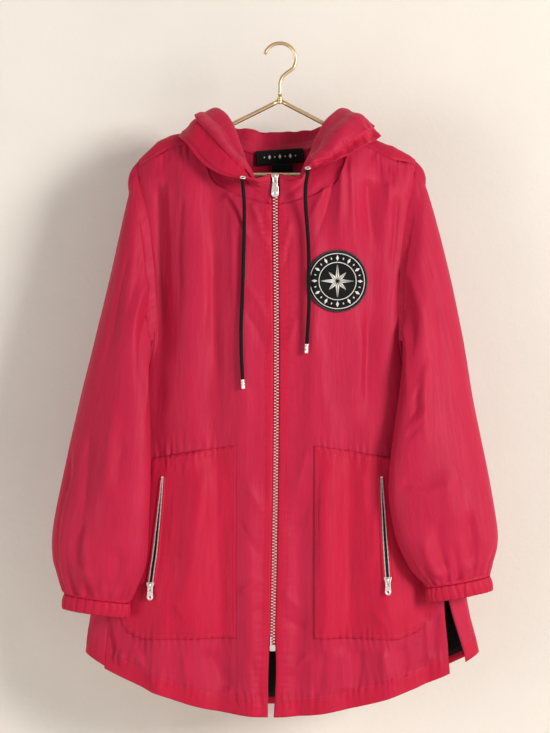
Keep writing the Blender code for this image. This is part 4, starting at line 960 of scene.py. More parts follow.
WEAVE = crinkled_weave_group()
SINGLE_DARK, SINGLE_LIGHT = (0.430, 0.0112, 0.0455, 1), (0.490, 0.0142, 0.0545, 1)
DOUBLE_DARK, DOUBLE_LIGHT = (0.455, 0.0075, 0.0375, 1), (0.505, 0.0092, 0.0440, 1)


def nylon_material():
    """Raspberry nylon: duller where one layer hangs over the dark lining, fuller where it is doubled, with
    lengthwise colour streaks that are painted crinkle shading.
    """
    made, tree, shader = new_material(
        "raspberry_nylon", Sheen_Weight=0.10, Sheen_Roughness=0.40, Sheen_Tint=(1.0, 0.22, 0.38, 1.0),
        IOR=1.42, Specular_IOR_Level=0.42, Specular_Tint=(1.0, 0.48, 0.60, 1.0))
    weave = use_group(tree, WEAVE, Thread_Count=1500.0, Crinkle=1.0)
    tree.links.new(weave_map(tree), weave.inputs["Map"])
    layer = add(tree, "ShaderNodeAttribute", attribute_name="doubled").outputs["Fac"]
    single = mix_colour(tree, weave.outputs["Shade"], SINGLE_DARK, SINGLE_LIGHT)
    double = mix_colour(tree, weave.outputs["Shade"], DOUBLE_DARK, DOUBLE_LIGHT)
    colour = mix_colour(tree, layer, single, double)
    # Lighter and darker colour streaks, 5 per cent each way, along the crinkle's noise: painted crinkle
    # shading.
    painted_crinkle_shade = spread_values(tree, weave.outputs["Streak"], 0.0, 1.0, 0.95, 1.05)
    shaded = add(tree, "ShaderNodeHueSaturation")
    tree.links.new(colour, shaded.inputs["Color"])
    tree.links.new(painted_crinkle_shade, shaded.inputs["Value"])
    tree.links.new(shaded.outputs[0], shader.inputs["Base Color"])
    rough = spread_values(tree, weave.outputs["Streak"], 0.0, 1.0, 0.62, 0.52)
    tree.links.new(rough, shader.inputs["Roughness"])
    bump_into(tree, shader, weave.outputs["Height"], 0.42, 0.0010)
    return made


def weave_material(name, dark, light, threads, crinkle, roughness):
    """A matt plain weave: lining, labels, badge ground and zip tape."""
    made, tree, shader = new_material(name, Sheen_Weight=0.01, Sheen_Roughness=0.5, Specular_IOR_Level=0.12)
    weave = use_group(tree, WEAVE, Thread_Count=threads, Crinkle=crinkle)
    tree.links.new(weave_map(tree), weave.inputs["Map"])
    tree.links.new(mix_colour(tree, weave.outputs["Shade"], dark, light), shader.inputs["Base Color"])
    rough = spread_values(tree, weave.outputs["Streak"], 0, 1, roughness, roughness - 0.12)
    tree.links.new(rough, shader.inputs["Roughness"])
    bump_into(tree, shader, weave.outputs["Height"], 0.5, 0.0006)
    return made


def worn_metal_group():
    """Small scratches and slow dulling of metal, from a map in metres."""
    group, start, end = shader_group(
        "worn_metal",
        (("Map", "NodeSocketVector", (0, 0, 0)), ("Bright", "NodeSocketColor", (0.8, 0.8, 0.8, 1)),
         ("Dull", "NodeSocketColor", (0.5, 0.5, 0.5, 1)), ("Polish", "NodeSocketFloat", 0.2)),
        (("Colour", "NodeSocketColor"), ("Roughness", "NodeSocketFloat"), ("Height", "NodeSocketFloat")),
    )
    where = start.outputs["Map"]
    slow = spread_values(group, noise_node(group, where, 130.0, 3.0, 0.6), 0.35, 0.7)
    fine = noise_node(group, stretched(group, where, (900.0, 900.0, 160.0)), 1.0, 2.0, 0.6)
    colour = mix_colour(group, slow, start.outputs["Bright"], start.outputs["Dull"])
    group.links.new(colour, end.inputs["Colour"])
    rough = math_node(group, "ADD", start.outputs["Polish"], math_node(group, "MULTIPLY", slow, 0.14))
    rough = math_node(group, "ADD", rough, math_node(group, "MULTIPLY", fine, 0.08))
    group.links.new(rough, end.inputs["Roughness"])
    group.links.new(fine, end.inputs["Height"])
    return group


WORN_METAL = worn_metal_group()


def metal_material(name, bright, dull, polish, metallic=1.0):
    made, tree, shader = new_material(name, Metallic=metallic)
    metal = use_group(tree, WORN_METAL, Bright=bright, Dull=dull, Polish=polish)
    tree.links.new(object_map(tree), metal.inputs["Map"])
    tree.links.new(metal.outputs["Colour"], shader.inputs["Base Color"])
    tree.links.new(metal.outputs["Roughness"], shader.inputs["Roughness"])
    bump_into(tree, shader, metal.outputs["Height"], 0.15, 0.0001)
    return made


def thread_material(name, dark, light):
    """Sewing or embroidery thread: a fine twist with a silky edge, its colour painted darker in the twist's
    low places as shade.
    """
    made, tree, shader = new_material(name, Sheen_Weight=0.3, Sheen_Roughness=0.4, Roughness=0.55)
    where = object_map(tree)
    twist = noise_node(tree, stretched(tree, where, (2600.0, 2600.0, 900.0)), 1.0, 2.0, 0.5)
    slow = noise_node(tree, where, 60.0, 2.0, 0.5)
    # Colour share: 0.6 of the twist's bump, darker where it is low (painted shade), and 0.4 of a slow random
    # change of tone.
    painted_twist_shade = math_node(tree, "MULTIPLY", twist, 0.6)
    share = math_node(tree, "ADD", painted_twist_shade, math_node(tree, "MULTIPLY", slow, 0.4))
    colour = mix_colour(tree, spread_values(tree, share, 0.35, 0.65), dark, light)
    tree.links.new(colour, shader.inputs["Base Color"])
    bump_into(tree, shader, twist, 0.5, 0.0003)
    return made


def braid_material():
    """Black braided cord: crossing strands down the hanging cord, its colour painted darker in the braid's
    low places as shade.
    """
    made, tree, shader = new_material(
        "black_braid", Roughness=0.75, Sheen_Weight=0.02, Sheen_Roughness=0.5, Specular_IOR_Level=0.15)
    where = object_map(tree)
    parts = add(tree, "ShaderNodeSeparateXYZ")
    tree.links.new(where, parts.inputs[0])
    strands = []
    for lean in (1.0, -1.0):
        across = math_node(tree, "MULTIPLY", parts.outputs["X"], 1900.0 * lean)
        down = math_node(tree, "MULTIPLY", parts.outputs["Z"], 1500.0)
        strands.append(math_node(tree, "SINE", math_node(tree, "ADD", across, down)))
    braid = math_node(tree, "MULTIPLY", strands[0], strands[1])
    # The colour follows the braid's bump, darker where it is low between the strands: painted shade.
    share = spread_values(tree, braid, -0.8, 0.8)
    colour = mix_colour(tree, share, (0.0025, 0.0025, 0.003, 1), (0.010, 0.0095, 0.010, 1))
    tree.links.new(colour, shader.inputs["Base Color"])
    bump_into(tree, shader, braid, 0.6, 0.0004)
    return made


def plaster_material():
    """Pale plaster for the stage, clear from behind so that views of the back aren't blocked."""
    made, tree, shader = new_material("pale_plaster", Roughness=0.9)
    where = object_map(tree)
    slow = noise_node(tree, where, 2.2, 4.0, 0.55)
    fine = noise_node(tree, where, 90.0, 4.0, 0.6)
    share = spread_values(tree, slow, 0.3, 0.7)
    colour = mix_colour(tree, share, (0.76, 0.725, 0.675, 1), (0.82, 0.79, 0.74, 1))
    tree.links.new(colour, shader.inputs["Base Color"])
    bump_into(tree, shader, fine, 0.25, 0.002)
    clear = add(tree, "ShaderNodeBsdfTransparent")
    facing = add(tree, "ShaderNodeNewGeometry")
    choose = add(tree, "ShaderNodeMixShader")
    tree.links.new(facing.outputs["Backfacing"], choose.inputs[0])
    tree.links.new(shader.outputs[0], choose.inputs[1])
    tree.links.new(clear.outputs[0], choose.inputs[2])
    tree.links.new(choose.outputs[0], tree.nodes["Material Output"].inputs["Surface"])
    return made


NYLON = nylon_material()
WOVEN_BLACK = (0.006, 0.006, 0.007, 1)
LINING = weave_material("black_lining", WOVEN_BLACK, (0.014, 0.013, 0.014, 1), 2200.0, 0.5, 0.85)
LABEL = weave_material("black_label", WOVEN_BLACK, (0.013, 0.012, 0.013, 1), 5200.0, 0.25, 0.72)
SILVER = metal_material("bright_nickel", (0.95, 0.93, 0.91, 1), (0.80, 0.77, 0.75, 1), 0.24, 0.80)
TEETH = metal_material("zip_nickel", (0.95, 0.91, 0.88, 1), (0.80, 0.77, 0.75, 1), 0.34, 0.25)
BRASS = metal_material("brushed_brass", (0.88, 0.69, 0.43, 1), (0.74, 0.54, 0.30, 1), 0.28)
TAPE = weave_material(
    "raspberry_tape", (0.300, 0.006, 0.020, 1), (0.400, 0.010, 0.032, 1), 3600.0, 0.15, 0.75)
BADGE_CLOTH = weave_material(
    "badge_twill", (0.004, 0.004, 0.0045, 1), (0.010, 0.010, 0.010, 1), 4200.0, 0.1, 0.8)
PINK_THREAD = thread_material("raspberry_thread", (0.40, 0.008, 0.030, 1), (0.56, 0.018, 0.058, 1))
BLACK_THREAD = thread_material("black_thread", (0.006, 0.006, 0.006, 1), (0.02, 0.02, 0.02, 1))
WHITE_THREAD = thread_material("white_thread", (0.56, 0.55, 0.53, 1), (0.80, 0.79, 0.77, 1))
BRAID = braid_material()
PLASTER = plaster_material()


# Camera and cords


def make_camera():
    view = bpy.data.cameras.new("photo_view")
    view.sensor_width = 36.0
    view.lens = 36.0 * CAMERA_DISTANCE / IMAGE_LONG_SIDE
    view.dof.use_dof = False
    camera = link(bpy.data.objects.new("photo_view", view))
    camera.location = (GARMENT_X, CLOTH_PLANE_Y - CAMERA_DISTANCE, -CAMERA_DROP)
    camera.rotation_euler = (math.radians(90), 0.0, 0.0)
    bpy.context.scene.camera = camera


def cord_path(side):
    route = [front_face(np.array(x), np.array(drop), lift) for x, drop, lift in CORD_ROWS[side]]
    return spline(route, CORD_STEPS)


def make_cords():
    """The drawcords' free ends, out of their eyelets, each with a crimped metal tip."""
    for side in SIDES:
        path = cord_path(side)
        curve = bpy.data.curves.new(f"cord_{side}", "CURVE")
        curve.dimensions = "3D"
        curve.bevel_depth = CORD_DIAMETER / 2
        curve.bevel_resolution = 4
        curve.use_fill_caps = True
        line = curve.splines.new("POLY")
        line.points.add(len(path) - 1)
        for point, at in zip(line.points, path):
            point.co = (at[0] + GARMENT_X, at[1], at[2], 1.0)
        curve.materials.append(BRAID)
        cord = link(bpy.data.objects.new(f"cord_{side}", curve))
        settle(cord, [f"drawcord_{side}"])
        tip = make_cord_tip(side, path)
        make_eyelet(side)


# The cord tip's profile as (share of its length, share of its radius)
CORD_TIP_PROFILE = (
    (0.0, 0.90), (0.03, 1.06), (0.09, 1.06), (0.12, 1.0), (0.26, 1.0), (0.29, 0.88), (0.33, 0.88),
    (0.36, 1.0), (0.50, 1.0), (0.53, 0.88), (0.57, 0.88), (0.60, 1.0), (0.93, 1.0), (0.98, 0.92), (1.0, 0.75),
)
CORD_TIP_WALL = 0.0004
CORD_TIP_OVERLAP = 0.0006


def make_cord_tip(side, path):
    """A crimped tube: a rolled lip at its top, two crimp grooves and a rounded end."""
    way = (path[-1] - path[-2]) / np.linalg.norm(path[-1] - path[-2])
    radius = CORD_DIAMETER / 2 + CORD_TIP_WALL
    start = path[-1] - way * CORD_TIP_OVERLAP
    line = [start + way * CORD_TIP_LENGTH * along for along, _ in CORD_TIP_PROFILE]
    radii = [radius * wide for _, wide in CORD_TIP_PROFILE]
    tip = tube_mesh(f"cord_end_{side}", line, radii, SILVER, sides=24)
    return settle(tip, [f"cord_tip_{side}"])


# The eyelet's rolled section as (radius, rise)
EYELET_PROFILE = (
    (0.0029, -0.0006), (0.0029, 0.0004), (0.0032, 0.0009), (0.0037, 0.0010), (0.0043, 0.0006),
    (0.0045, 0.0000), (0.0043, -0.0004), (0.0036, -0.0003),
)


def make_eyelet(side):
    """A rolled metal eyelet, turned round its own axis."""
    sides = 40
    lean = math.radians(EYELET_LEAN)
    angles = np.arange(sides) * 2 * np.pi / sides
    rings = []
    for radius, rise in EYELET_PROFILE:
        flat = np.stack([radius * np.cos(angles), radius * np.sin(angles), np.full(sides, rise)], axis=1)
        y = flat[:, 1] * math.cos(lean) - flat[:, 2] * math.sin(lean)
        z = flat[:, 1] * math.sin(lean) + flat[:, 2] * math.cos(lean)
        rings.append(np.stack([flat[:, 0], y, z], axis=1))
    points = np.array(rings) + np.array(EYELETS[side]) + ON_GARMENT
    faces, _, _ = net_faces(len(rings) + 1, sides, True, False)
    faces = faces % (len(rings) * sides)
    ring = plain_mesh(f"eyelet_ring_{side}", points.reshape(-1, 3), faces, SILVER)
    outward(ring.data)
    settle(ring, [f"eyelet_{side}"])


# Body cloth

STITCH_GROOVE = 0.0012
HEM_GROOVE_DEPTH = 0.0007
PLACKET_GROOVE_DEPTH = 0.0006
POCKET_SEAM_DEPTH = 0.0008
HEM_PUCKER_REACH = 13
FRONT_HEM_PUCKER, BACK_HEM_PUCKER = 0.0034, 0.0022
POCKET_SEAM_PUCKERS = ((POCKET_TOP_ROW, 12, 0.0024, 76), (POCKET_LOW_ROW, 15, 0.0034, 77))
PLACKET_PUCKER = 0.0017
BADGE_EASE = 0.016
LAYER_EDGE = 0.002


def front_relief(side, points, hem):
    """Heights of a front's creases, seams and crinkle over its smooth form."""
    x, drop = points[..., 0] / MM, -points[..., 2] / MM
    sway = 2.5 * ripple(x / 50, drop / 90, 5)
    rows = RIGHT_FRONT_CREASES if side == "right" else LEFT_FRONT_CREASES
    gathered = creases(YOKE_GATHERS[side] + WAIST_GATHERS[side], x + sway, drop)
    height = FOLD_GAIN * creases(rows, x + sway, drop) + gathered
    height = height + crinkle(x, drop, 50 if side == "right" else 60)
    to_hem = hem - drop * MM
    to_zip = np.abs(points[..., 0] - points[:, :1, 0])
    height = height + groove(to_hem - HEM_BAND, STITCH_GROOVE, HEM_GROOVE_DEPTH)
    height = height + seam_pucker((to_hem - HEM_BAND) / MM, x, HEM_PUCKER_REACH, FRONT_HEM_PUCKER, 71)
    pocket_side = smooth_step((np.arange(points.shape[1]) - FRONT_COLUMN_COUNTS[0]) / 3.0)
    for row, reach, tall, seed in POCKET_SEAM_PUCKERS:
        height = height + seam_pucker(drop - drop[row], x, reach, tall, seed) * pocket_side
    height = height + groove(to_zip - PLACKET, STITCH_GROOVE, PLACKET_GROOVE_DEPTH)
    height = height + seam_pucker((to_zip - PLACKET) / MM, drop, 10, PLACKET_PUCKER, 73)
    edge = smooth_step(to_zip / 0.004)
    height = height * (0.35 + 0.65 * edge)
    height = height * smooth_step(np.arange(points.shape[1])[::-1] / 5.0)
    below_pocket = np.arange(points.shape[0])[:, None] >= POCKET_LOW_ROW
    seam_column = np.arange(points.shape[1])[None, :] - FRONT_COLUMN_COUNTS[0]
    height = height + np.where(below_pocket, groove(seam_column, 0.7, POCKET_SEAM_DEPTH), 0.0)
    if side == "left":
        from_badge = np.hypot(points[..., 0] - BADGE_X, -points[..., 2] - BADGE_DROP)
        height = height * (1 - 0.9 * smooth_step((BADGE_RADIUS + BADGE_EASE - from_badge) / BADGE_EASE))
    return height


def front_layers(points, hem):
    """Where a front is doubled: its hem band, its zip placket and its seam allowances."""
    drop = -points[..., 2]
    to_hem = hem - drop
    to_zip = np.abs(points[..., 0] - points[:, :1, 0])
    to_side = np.linalg.norm(points - points[:, -1:], axis=2)
    band = smooth_step((HEM_BAND - to_hem) / LAYER_EDGE + 0.5)
    placket = smooth_step((PLACKET - to_zip) / LAYER_EDGE + 0.5)
    seam = 0.6 * smooth_step((0.009 - to_side) / LAYER_EDGE)
    return np.maximum(np.maximum(band, placket), seam)


def level_lines(points, values, wanted):
    """The line over a net where a value that changes down each column reaches a wanted size."""
    line = []
    for c in range(points.shape[1]):
        rise = values[:, c] if values[-1, c] > values[0, c] else -values[:, c]
        aim = wanted if values[-1, c] > values[0, c] else -wanted
        line.append([np.interp(aim, rise, points[:, c, k]) for k in range(3)])
    return np.array(line)


def make_fronts():
    nets = {}
    for side, sign in SIDES.items():
        turns, drops = front_net(side)
        smooth = body_point(turns, drops)
        height = front_relief(side, smooth, drops[-1])
        nets[side] = raised_shoulder(moved_out(smooth, height, flip=sign > 0))
        lifted = moved_out(nets[side], STITCH_LIFT, flip=sign > 0)
        STITCH_LINES.append(level_lines(lifted, drops[-1] - drops, HEM_BAND))
        to_zip = np.abs(smooth[..., 0] - smooth[:, :1, 0])
        STITCH_LINES.append(level_lines(lifted.transpose(1, 0, 2), to_zip.T, PLACKET))
        layers = front_layers(smooth, drops[-1])
        piece = cloth_piece(f"body_front_{side}", nets[side], NYLON, layers, flip=sign > 0)
        settle(piece, [f"front_{side}"])
    return nets


def make_back():
    """The back, and the dark lining inside it; no valley of the back reaches the lining."""
    turns, drops = back_net()
    smooth = body_point(turns, drops)
    x, drop = smooth[..., 0] / MM, -smooth[..., 2] / MM
    sway = 2.5 * ripple(x / 50, drop / 90, 6)
    height = FOLD_GAIN * creases(BACK_CREASES, x + sway, drop)
    height = height + creases(BACK_GATHERS, x, drop) + crinkle(x, drop, 80)
    to_hem = drops[-1] - drops
    height = height + groove(to_hem - HEM_BAND, STITCH_GROOVE, HEM_GROOVE_DEPTH)
    height = height + seam_pucker((to_hem - HEM_BAND) / MM, x, HEM_PUCKER_REACH, BACK_HEM_PUCKER, 75)
    side_ease = smooth_step(np.minimum(np.arange(turns.shape[1]), np.arange(turns.shape[1])[::-1]) / 6.0)
    deepest = LINING_GAP - 2 * CLOTH_WALL
    height = np.where(height < 0, deepest * np.tanh(height / deepest), height) * side_ease
    points = raised_shoulder(moved_out(smooth, height, flip=True))
    STITCH_LINES.append(level_lines(moved_out(points, STITCH_LIFT, flip=True), to_hem, HEM_BAND))
    band = smooth_step((HEM_BAND - to_hem) / LAYER_EDGE + 0.5)
    piece = cloth_piece("body_back", points, NYLON, band, flip=True)
    settle(piece, ["back"])
    low = sum(BACK_ROW_COUNTS[:2])
    inner = moved_out(smooth, -LINING_GAP, flip=True)[BACK_ROW_COUNTS[0]:low + 5:2]
    lining = cloth_piece("body_lining", inner, LINING, flip=True)
    settle(lining, ["lining_back"])


def yoke_start(x):
    line = shoulder_drop(x)
    if abs(x) > YOKE_NECK_X:
        seam = -math.acos(1 - (yoke_seam_drop(x) - SEAM_GAP - line) / SHOULDER_ROUND)
        return seam if abs(x) > YOKE_CORNER_X else max(seam, YOKE_CORNER_ANGLE)
    neck = NECK_BACK_DROP - NECK_BACK_RISE * (abs(x) / YOKE_NECK_X) ** 2
    return math.acos(1 - (neck - line) / SHOULDER_ROUND)


def yoke_x(x, drop):
    side = "left" if x > 0 else "right"
    end = shoulder_end_x(side)
    turn = math.radians(float(table(ARMHOLE_ROWS, ARMHOLE_COLUMNS, "back_turn", drop)))
    reach = float(table(BODY_ROWS, BODY_COLUMNS, f"{side}_reach", drop))
    edge = reach * math.sin(turn) ** (2 / ROUNDNESS)
    past = max(0.0, abs(x) - YOKE_NECK_X) / (end - YOKE_NECK_X)
    return x - math.copysign(past * max(0.0, end - edge), x)


def make_yoke():
    """One doubled piece over both shoulders and across the back of the neck."""
    shoulders = {side: np.linspace(YOKE_SHOULDER_X, shoulder_end_x(side) - 0.0006, 22) for side in SIDES}
    middle = np.linspace(-YOKE_BACK_X, YOKE_BACK_X, 44)
    across = np.concatenate([-shoulders["right"][::-1], middle, shoulders["left"]])
    rows = 40
    points = np.zeros((rows, len(across), 3))
    for c, x in enumerate(across):
        line = shoulder_drop(x)
        reach = (YOKE_BACK_DROP - SEAM_GAP - line) / SHOULDER_ROUND
        end = math.acos(1 - reach) if reach < 1 else math.pi / 2 + reach - 1
        for r, angle in enumerate(np.linspace(yoke_start(x), end, rows)):
            past = max(0.0, angle - math.pi / 2)
            drop = line + SHOULDER_ROUND * (1 - math.cos(angle - past) + past)
            here = yoke_x(x, drop) if angle > 0 else x
            turn = abs(turn_of(here, drop))
            turn = turn if angle < 0 else 180 - turn
            points[r, c] = body_point(math.copysign(turn, x), drop)
            points[r, c, 0] = here
    along = np.arange(rows)[:, None] * 4.0
    height = 0.8 * crinkle(points[..., 0] / MM, along, 90)
    ends = np.minimum(np.arange(len(across)), np.arange(len(across))[::-1])
    height = height * smooth_step(ends / 4.0) * smooth_step(np.minimum(along, 160 - along) / 10)
    points = raised_shoulder(moved_out(points, height))
    lifted = moved_out(points, STITCH_LIFT)
    STITCH_LINES.extend((lifted[1, 1:21], lifted[1, -21:-1], lifted[-2, 2:-2]))
    piece = cloth_piece("shoulder_yoke", points, NYLON, 0.85)
    settle(piece, ["yoke"])


def make_pockets(nets):
    """Patch pockets: each front's own points inside the pocket, moved out and gathered at the top."""
    first, last = FRONT_COLUMN_COUNTS[0], sum(FRONT_COLUMN_COUNTS)
    layers = {}
    for side, sign in SIDES.items():
        base = nets[side][POCKET_TOP_ROW:POCKET_LOW_ROW + 1, first:last + 1]
        x, drop = base[..., 0] / MM, -base[..., 2] / MM
        rows = RIGHT_POCKET_CREASES if side == "right" else LEFT_POCKET_CREASES
        height = FOLD_GAIN * creases(rows, x, drop) + creases(POCKET_GATHERS[side], x, drop)
        height = height + 0.6 * crinkle(x, drop, 100 + sign)
        down = np.arange(base.shape[0])[:, None]
        across = np.arange(base.shape[1])[None, :]
        inset = np.minimum(np.minimum(down * 3.2, (base.shape[0] - 1 - down) * 3.2), across * 2.2)
        puff = smooth_step(inset / 45.0) * 0.0024
        edge_dip = groove(inset - 4.0, 1.6, 0.0007) + seam_pucker(inset - 4.0, x + drop, 9, 0.0018, 78)
        lift = np.maximum(0.0011 + puff + height * smooth_step(inset / 6.0 + 0.35) + edge_dip, 0.0007)
        from_zip = np.abs(across - FRONT_COLUMN_COUNTS[1]) * 2.2
        lift = lift * (1 - bell(from_zip, 9.0)) + (0.0016 + puff) * bell(from_zip, 9.0)
        layers[side] = moved_out(base, lift, flip=sign > 0)
        lifted = moved_out(layers[side], STITCH_LIFT, flip=sign > 0)
        STITCH_LINES.extend((lifted[2, 2:], lifted[2:-2, 2], lifted[-3, 2:]))
        piece = cloth_piece(f"pocket_cloth_{side}", layers[side], NYLON, 0.95, flip=sign > 0)
        settle(piece, [f"pocket_{side}"])
    return layers


# Sleeves


def armhole_loop(side, angle):
    sign = SIDES[side]
    top = shoulder_drop(shoulder_end_x(side)) + 0.0004
    drop = top + (UNDERARM_DROP - top) * (1 - np.cos(np.radians(angle))) / 2
    front_turn = table(ARMHOLE_ROWS, ARMHOLE_COLUMNS, "front_turn", drop)
    back_turn = table(ARMHOLE_ROWS, ARMHOLE_COLUMNS, "back_turn", drop)
    turn = np.where(np.asarray(angle) <= 180, front_turn, back_turn)
    loop = body_point(sign * turn, drop, -ARMHOLE_TUCK / 2)
    loop[..., 0] -= sign * ARMHOLE_TUCK
    return loop


def clear_of_body(points, room):
    """Points moved out of the body, so that a sleeve hangs beside it with some room."""
    x, y, drop = points[..., 0], points[..., 1], -points[..., 2]
    turn = np.where(y <= 0, np.where(x >= 0, 45.0, -45.0), np.where(x >= 0, 135.0, -135.0))
    reach, depth = body_sizes(turn, drop)
    depth = depth * np.maximum(shoulder_round(x, drop), 0.2)
    share = (np.abs(x) / (reach + room)) ** ROUNDNESS + (np.abs(y) / (depth + room)) ** ROUNDNESS
    scale = np.where(share < 1, np.maximum(share, 1e-3) ** (-1 / ROUNDNESS), 1.0)
    moved = points.copy()
    moved[..., 0] = x * scale
    moved[..., 1] = y * scale
    return moved


# Sleeve creases: angle round the sleeve in degrees (0 outer, 90 front, 180 under) and millimetres down it
SLEEVE_CREASES = {
    "right": (
        (126, 14, 122, 230, 3, 7, 12, -2.2, 0.15, 0.50),
        (150, 20, 146, 260, 3, 7, 10, 3.2, 0.10, 0.50),
        (106, 16, 104, 200, -3, 7, 12, 2.6, 0.10, 0.60),
        (86, 30, 88, 170, 2, 8, 14, -1.8, 0.10, 0.60),
        (60, 60, 64, 330, 3, 9, 14, -2.0, 0.20, 0.50),
        (92, 250, 96, 470, 3, 10, 14, 2.8, 0.30, 0.40),
        (118, 300, 112, 420, -3, 8, 11, -2.2, 0.30, 0.40),
        (66, 330, 70, 520, 3, 9, 13, -2.4, 0.30, 0.40),
        (34, 380, 38, 565, 3, 6, 9, -3.0, 0.25, 0.20),
        (76, 470, 74, 556, 0, 5, 10, -3.4, 0.25, 0.20),
        (34, 420, 44, 560, 3, 8, 12, 2.6, 0.30, 0.30),
        (78, 470, 82, 580, 2, 7, 10, 2.6, 0.30, 0.20),
        (124, 500, 118, 585, 2, 7, 9, -2.6, 0.30, 0.20),
        (270, 80, 262, 360, 4, 12, 16, 2.8, 0.20, 0.40),
        (232, 60, 240, 330, -4, 10, 15, -2.8, 0.20, 0.40),
        (300, 200, 296, 520, 4, 11, 15, -2.6, 0.30, 0.40),
    ),
    "left": (
        (112, 20, 118, 150, 2, 7, 11, -2.2, 0.15, 0.50),
        (94, 16, 98, 190, 2, 7, 12, 2.8, 0.08, 0.50),
        (138, 30, 134, 240, 3, 8, 12, 3.0, 0.10, 0.50),
        (70, 50, 76, 320, -3, 9, 14, -2.2, 0.20, 0.50),
        (108, 190, 106, 350, 3, 8, 12, 3.0, 0.30, 0.40),
        (122, 210, 120, 290, 2, 6, 9, -2.2, 0.30, 0.40),
        (128, 262, 112, 294, 3, 5, 8, 1.2, 0.25, 0.35),
        (136, 282, 118, 306, 3, 5, 8, -1.1, 0.25, 0.35),
        (146, 380, 92, 424, 5, 8, 12, -1.4, 0.25, 0.45),
        (140, 400, 90, 446, 4, 7, 11, 1.2, 0.25, 0.45),
        (88, 390, 86, 520, 3, 12, 16, 3.2, 0.30, 0.40),
        (72, 470, 76, 575, -2, 7, 10, -3.4, 0.30, 0.20),
        (56, 430, 60, 560, 3, 8, 12, 2.8, 0.30, 0.30),
        (108, 470, 112, 580, 2, 7, 10, -3.0, 0.30, 0.20),
        (126, 500, 124, 588, 2, 6, 9, 2.6, 0.30, 0.20),
        (270, 80, 278, 360, 4, 12, 16, 2.8, 0.20, 0.40),
        (236, 60, 230, 330, -4, 10, 15, -2.8, 0.20, 0.40),
        (306, 200, 300, 520, 4, 11, 15, -2.6, 0.30, 0.40),
    ),
}
SLEEVE_RINGS = 176
SLEEVE_AROUND = 136
CUFF_PUCKERS = {
    "right": gathers(51, 17, (0, 599), (360, 599), (0, -78), 4.8, 4.6)
    + gathers(55, 28, (6, 599), (366, 599), (0, -30), 2.8, 2.6),
    "left": gathers(52, 17, (0, 599), (360, 599), (0, -90), 4.8, 5.0)
    + gathers(56, 28, (6, 599), (366, 599), (0, -32), 2.8, 2.8),
}
CAP_PUCKERS = {
    "right": gathers(53, 11, (20, 3), (160, 3), (0, 46), 3.0, 1.8),
    "left": gathers(54, 11, (20, 3), (160, 3), (0, 46), 3.0, 2.0),
}
CUFF_DRAW_IN = 0.055
ARMHOLE_TUCK = 0.0022


def sleeve_relief(side, angle, down):
    sway = 5 * ripple(angle / 40, down / 90, 15)
    height = 0.0
    for turn in (-360, 0, 360):
        height = height + FOLD_GAIN * creases(SLEEVE_CREASES[side], angle + sway + turn, down)
        height = height + creases(CUFF_PUCKERS[side] + CAP_PUCKERS[side], angle + turn, down)
    across = np.minimum(angle, 360 - angle) * 0.9
    height = height + 1.1 * crinkle(across, down, 120 if side == "right" else 130)
    return height * smooth_step(down / 28.0)


def sleeve_net(side):
    sign = SIDES[side]
    rows = SLEEVE_ROWS[side]
    angle = np.arange(SLEEVE_AROUND) * 360 / SLEEVE_AROUND
    start = armhole_loop(side, angle)
    places = np.arange(1, len(rows) + 1, dtype=float)
    cosine, sine = np.cos(np.radians(angle))[:, None], np.sin(np.radians(angle))[:, None]
    shares = np.linspace(0, 1, SLEEVE_RINGS)
    net = []
    for at in shares * len(rows):
        size = {n: through(places, column(rows, SLEEVE_COLUMNS, n), max(at, 1.0)) for n in SLEEVE_COLUMNS}
        top = np.array([sign * size["top_x"], size["top_y"], -size["top_drop"]])
        under = np.array([sign * size["under_x"], size["under_y"], -size["under_drop"]])
        along = (top - under) / np.linalg.norm(top - under)
        out = np.array([0.0, -1.0, 0.0])
        out = out - along * out.dot(along)
        out = out / np.linalg.norm(out)
        ring = (top + under) / 2 + cosine * (top - under) / 2 + sine * size["thick"] * out
        ring = start * (1 - smooth_step(at / SLEEVE_JOIN)) + ring * smooth_step(at / SLEEVE_JOIN)
        settled = smooth_step(at)
        ring = ring * (1 - settled) + clear_of_body(ring, SLEEVE_CLEARANCE) * settled
        drawn = CUFF_DRAW_IN * smooth_step((at / len(rows) - 0.978) / 0.022)
        net.append(ring + (ring.mean(axis=0) - ring) * drawn)
    net = np.array(net)
    wrapped = np.concatenate([net[:, -1:], net, net[:, :1]], axis=1)
    steps = np.linalg.norm(np.diff(net, axis=0), axis=2).mean(axis=1)
    run = np.concatenate([[0.0], np.cumsum(steps)])
    down = np.broadcast_to(run[:, None] / run[-1] * SLEEVE_LENGTH / MM, net.shape[:2])
    height = sleeve_relief(side, np.broadcast_to(angle[None, :], net.shape[:2]), down)
    wide = np.concatenate([height[:, -1:], height, height[:, :1]], axis=1)
    return raised_shoulder(moved_out(wrapped, wide, flip=sign < 0)[:, 1:-1]), shares


def make_sleeves():
    for side, sign in SIDES.items():
        net, shares = sleeve_net(side)
        seam = 0.7 * smooth_step((0.016 - shares) / 0.004) + smooth_step((shares - 0.985) / 0.006)
        piece = cloth_piece(f"sleeve_cloth_{side}", net, NYLON, seam[:, None], closed=True, flip=sign < 0)
        settle(piece, [f"sleeve_{side}"])
        make_cuff(side, net[-1])


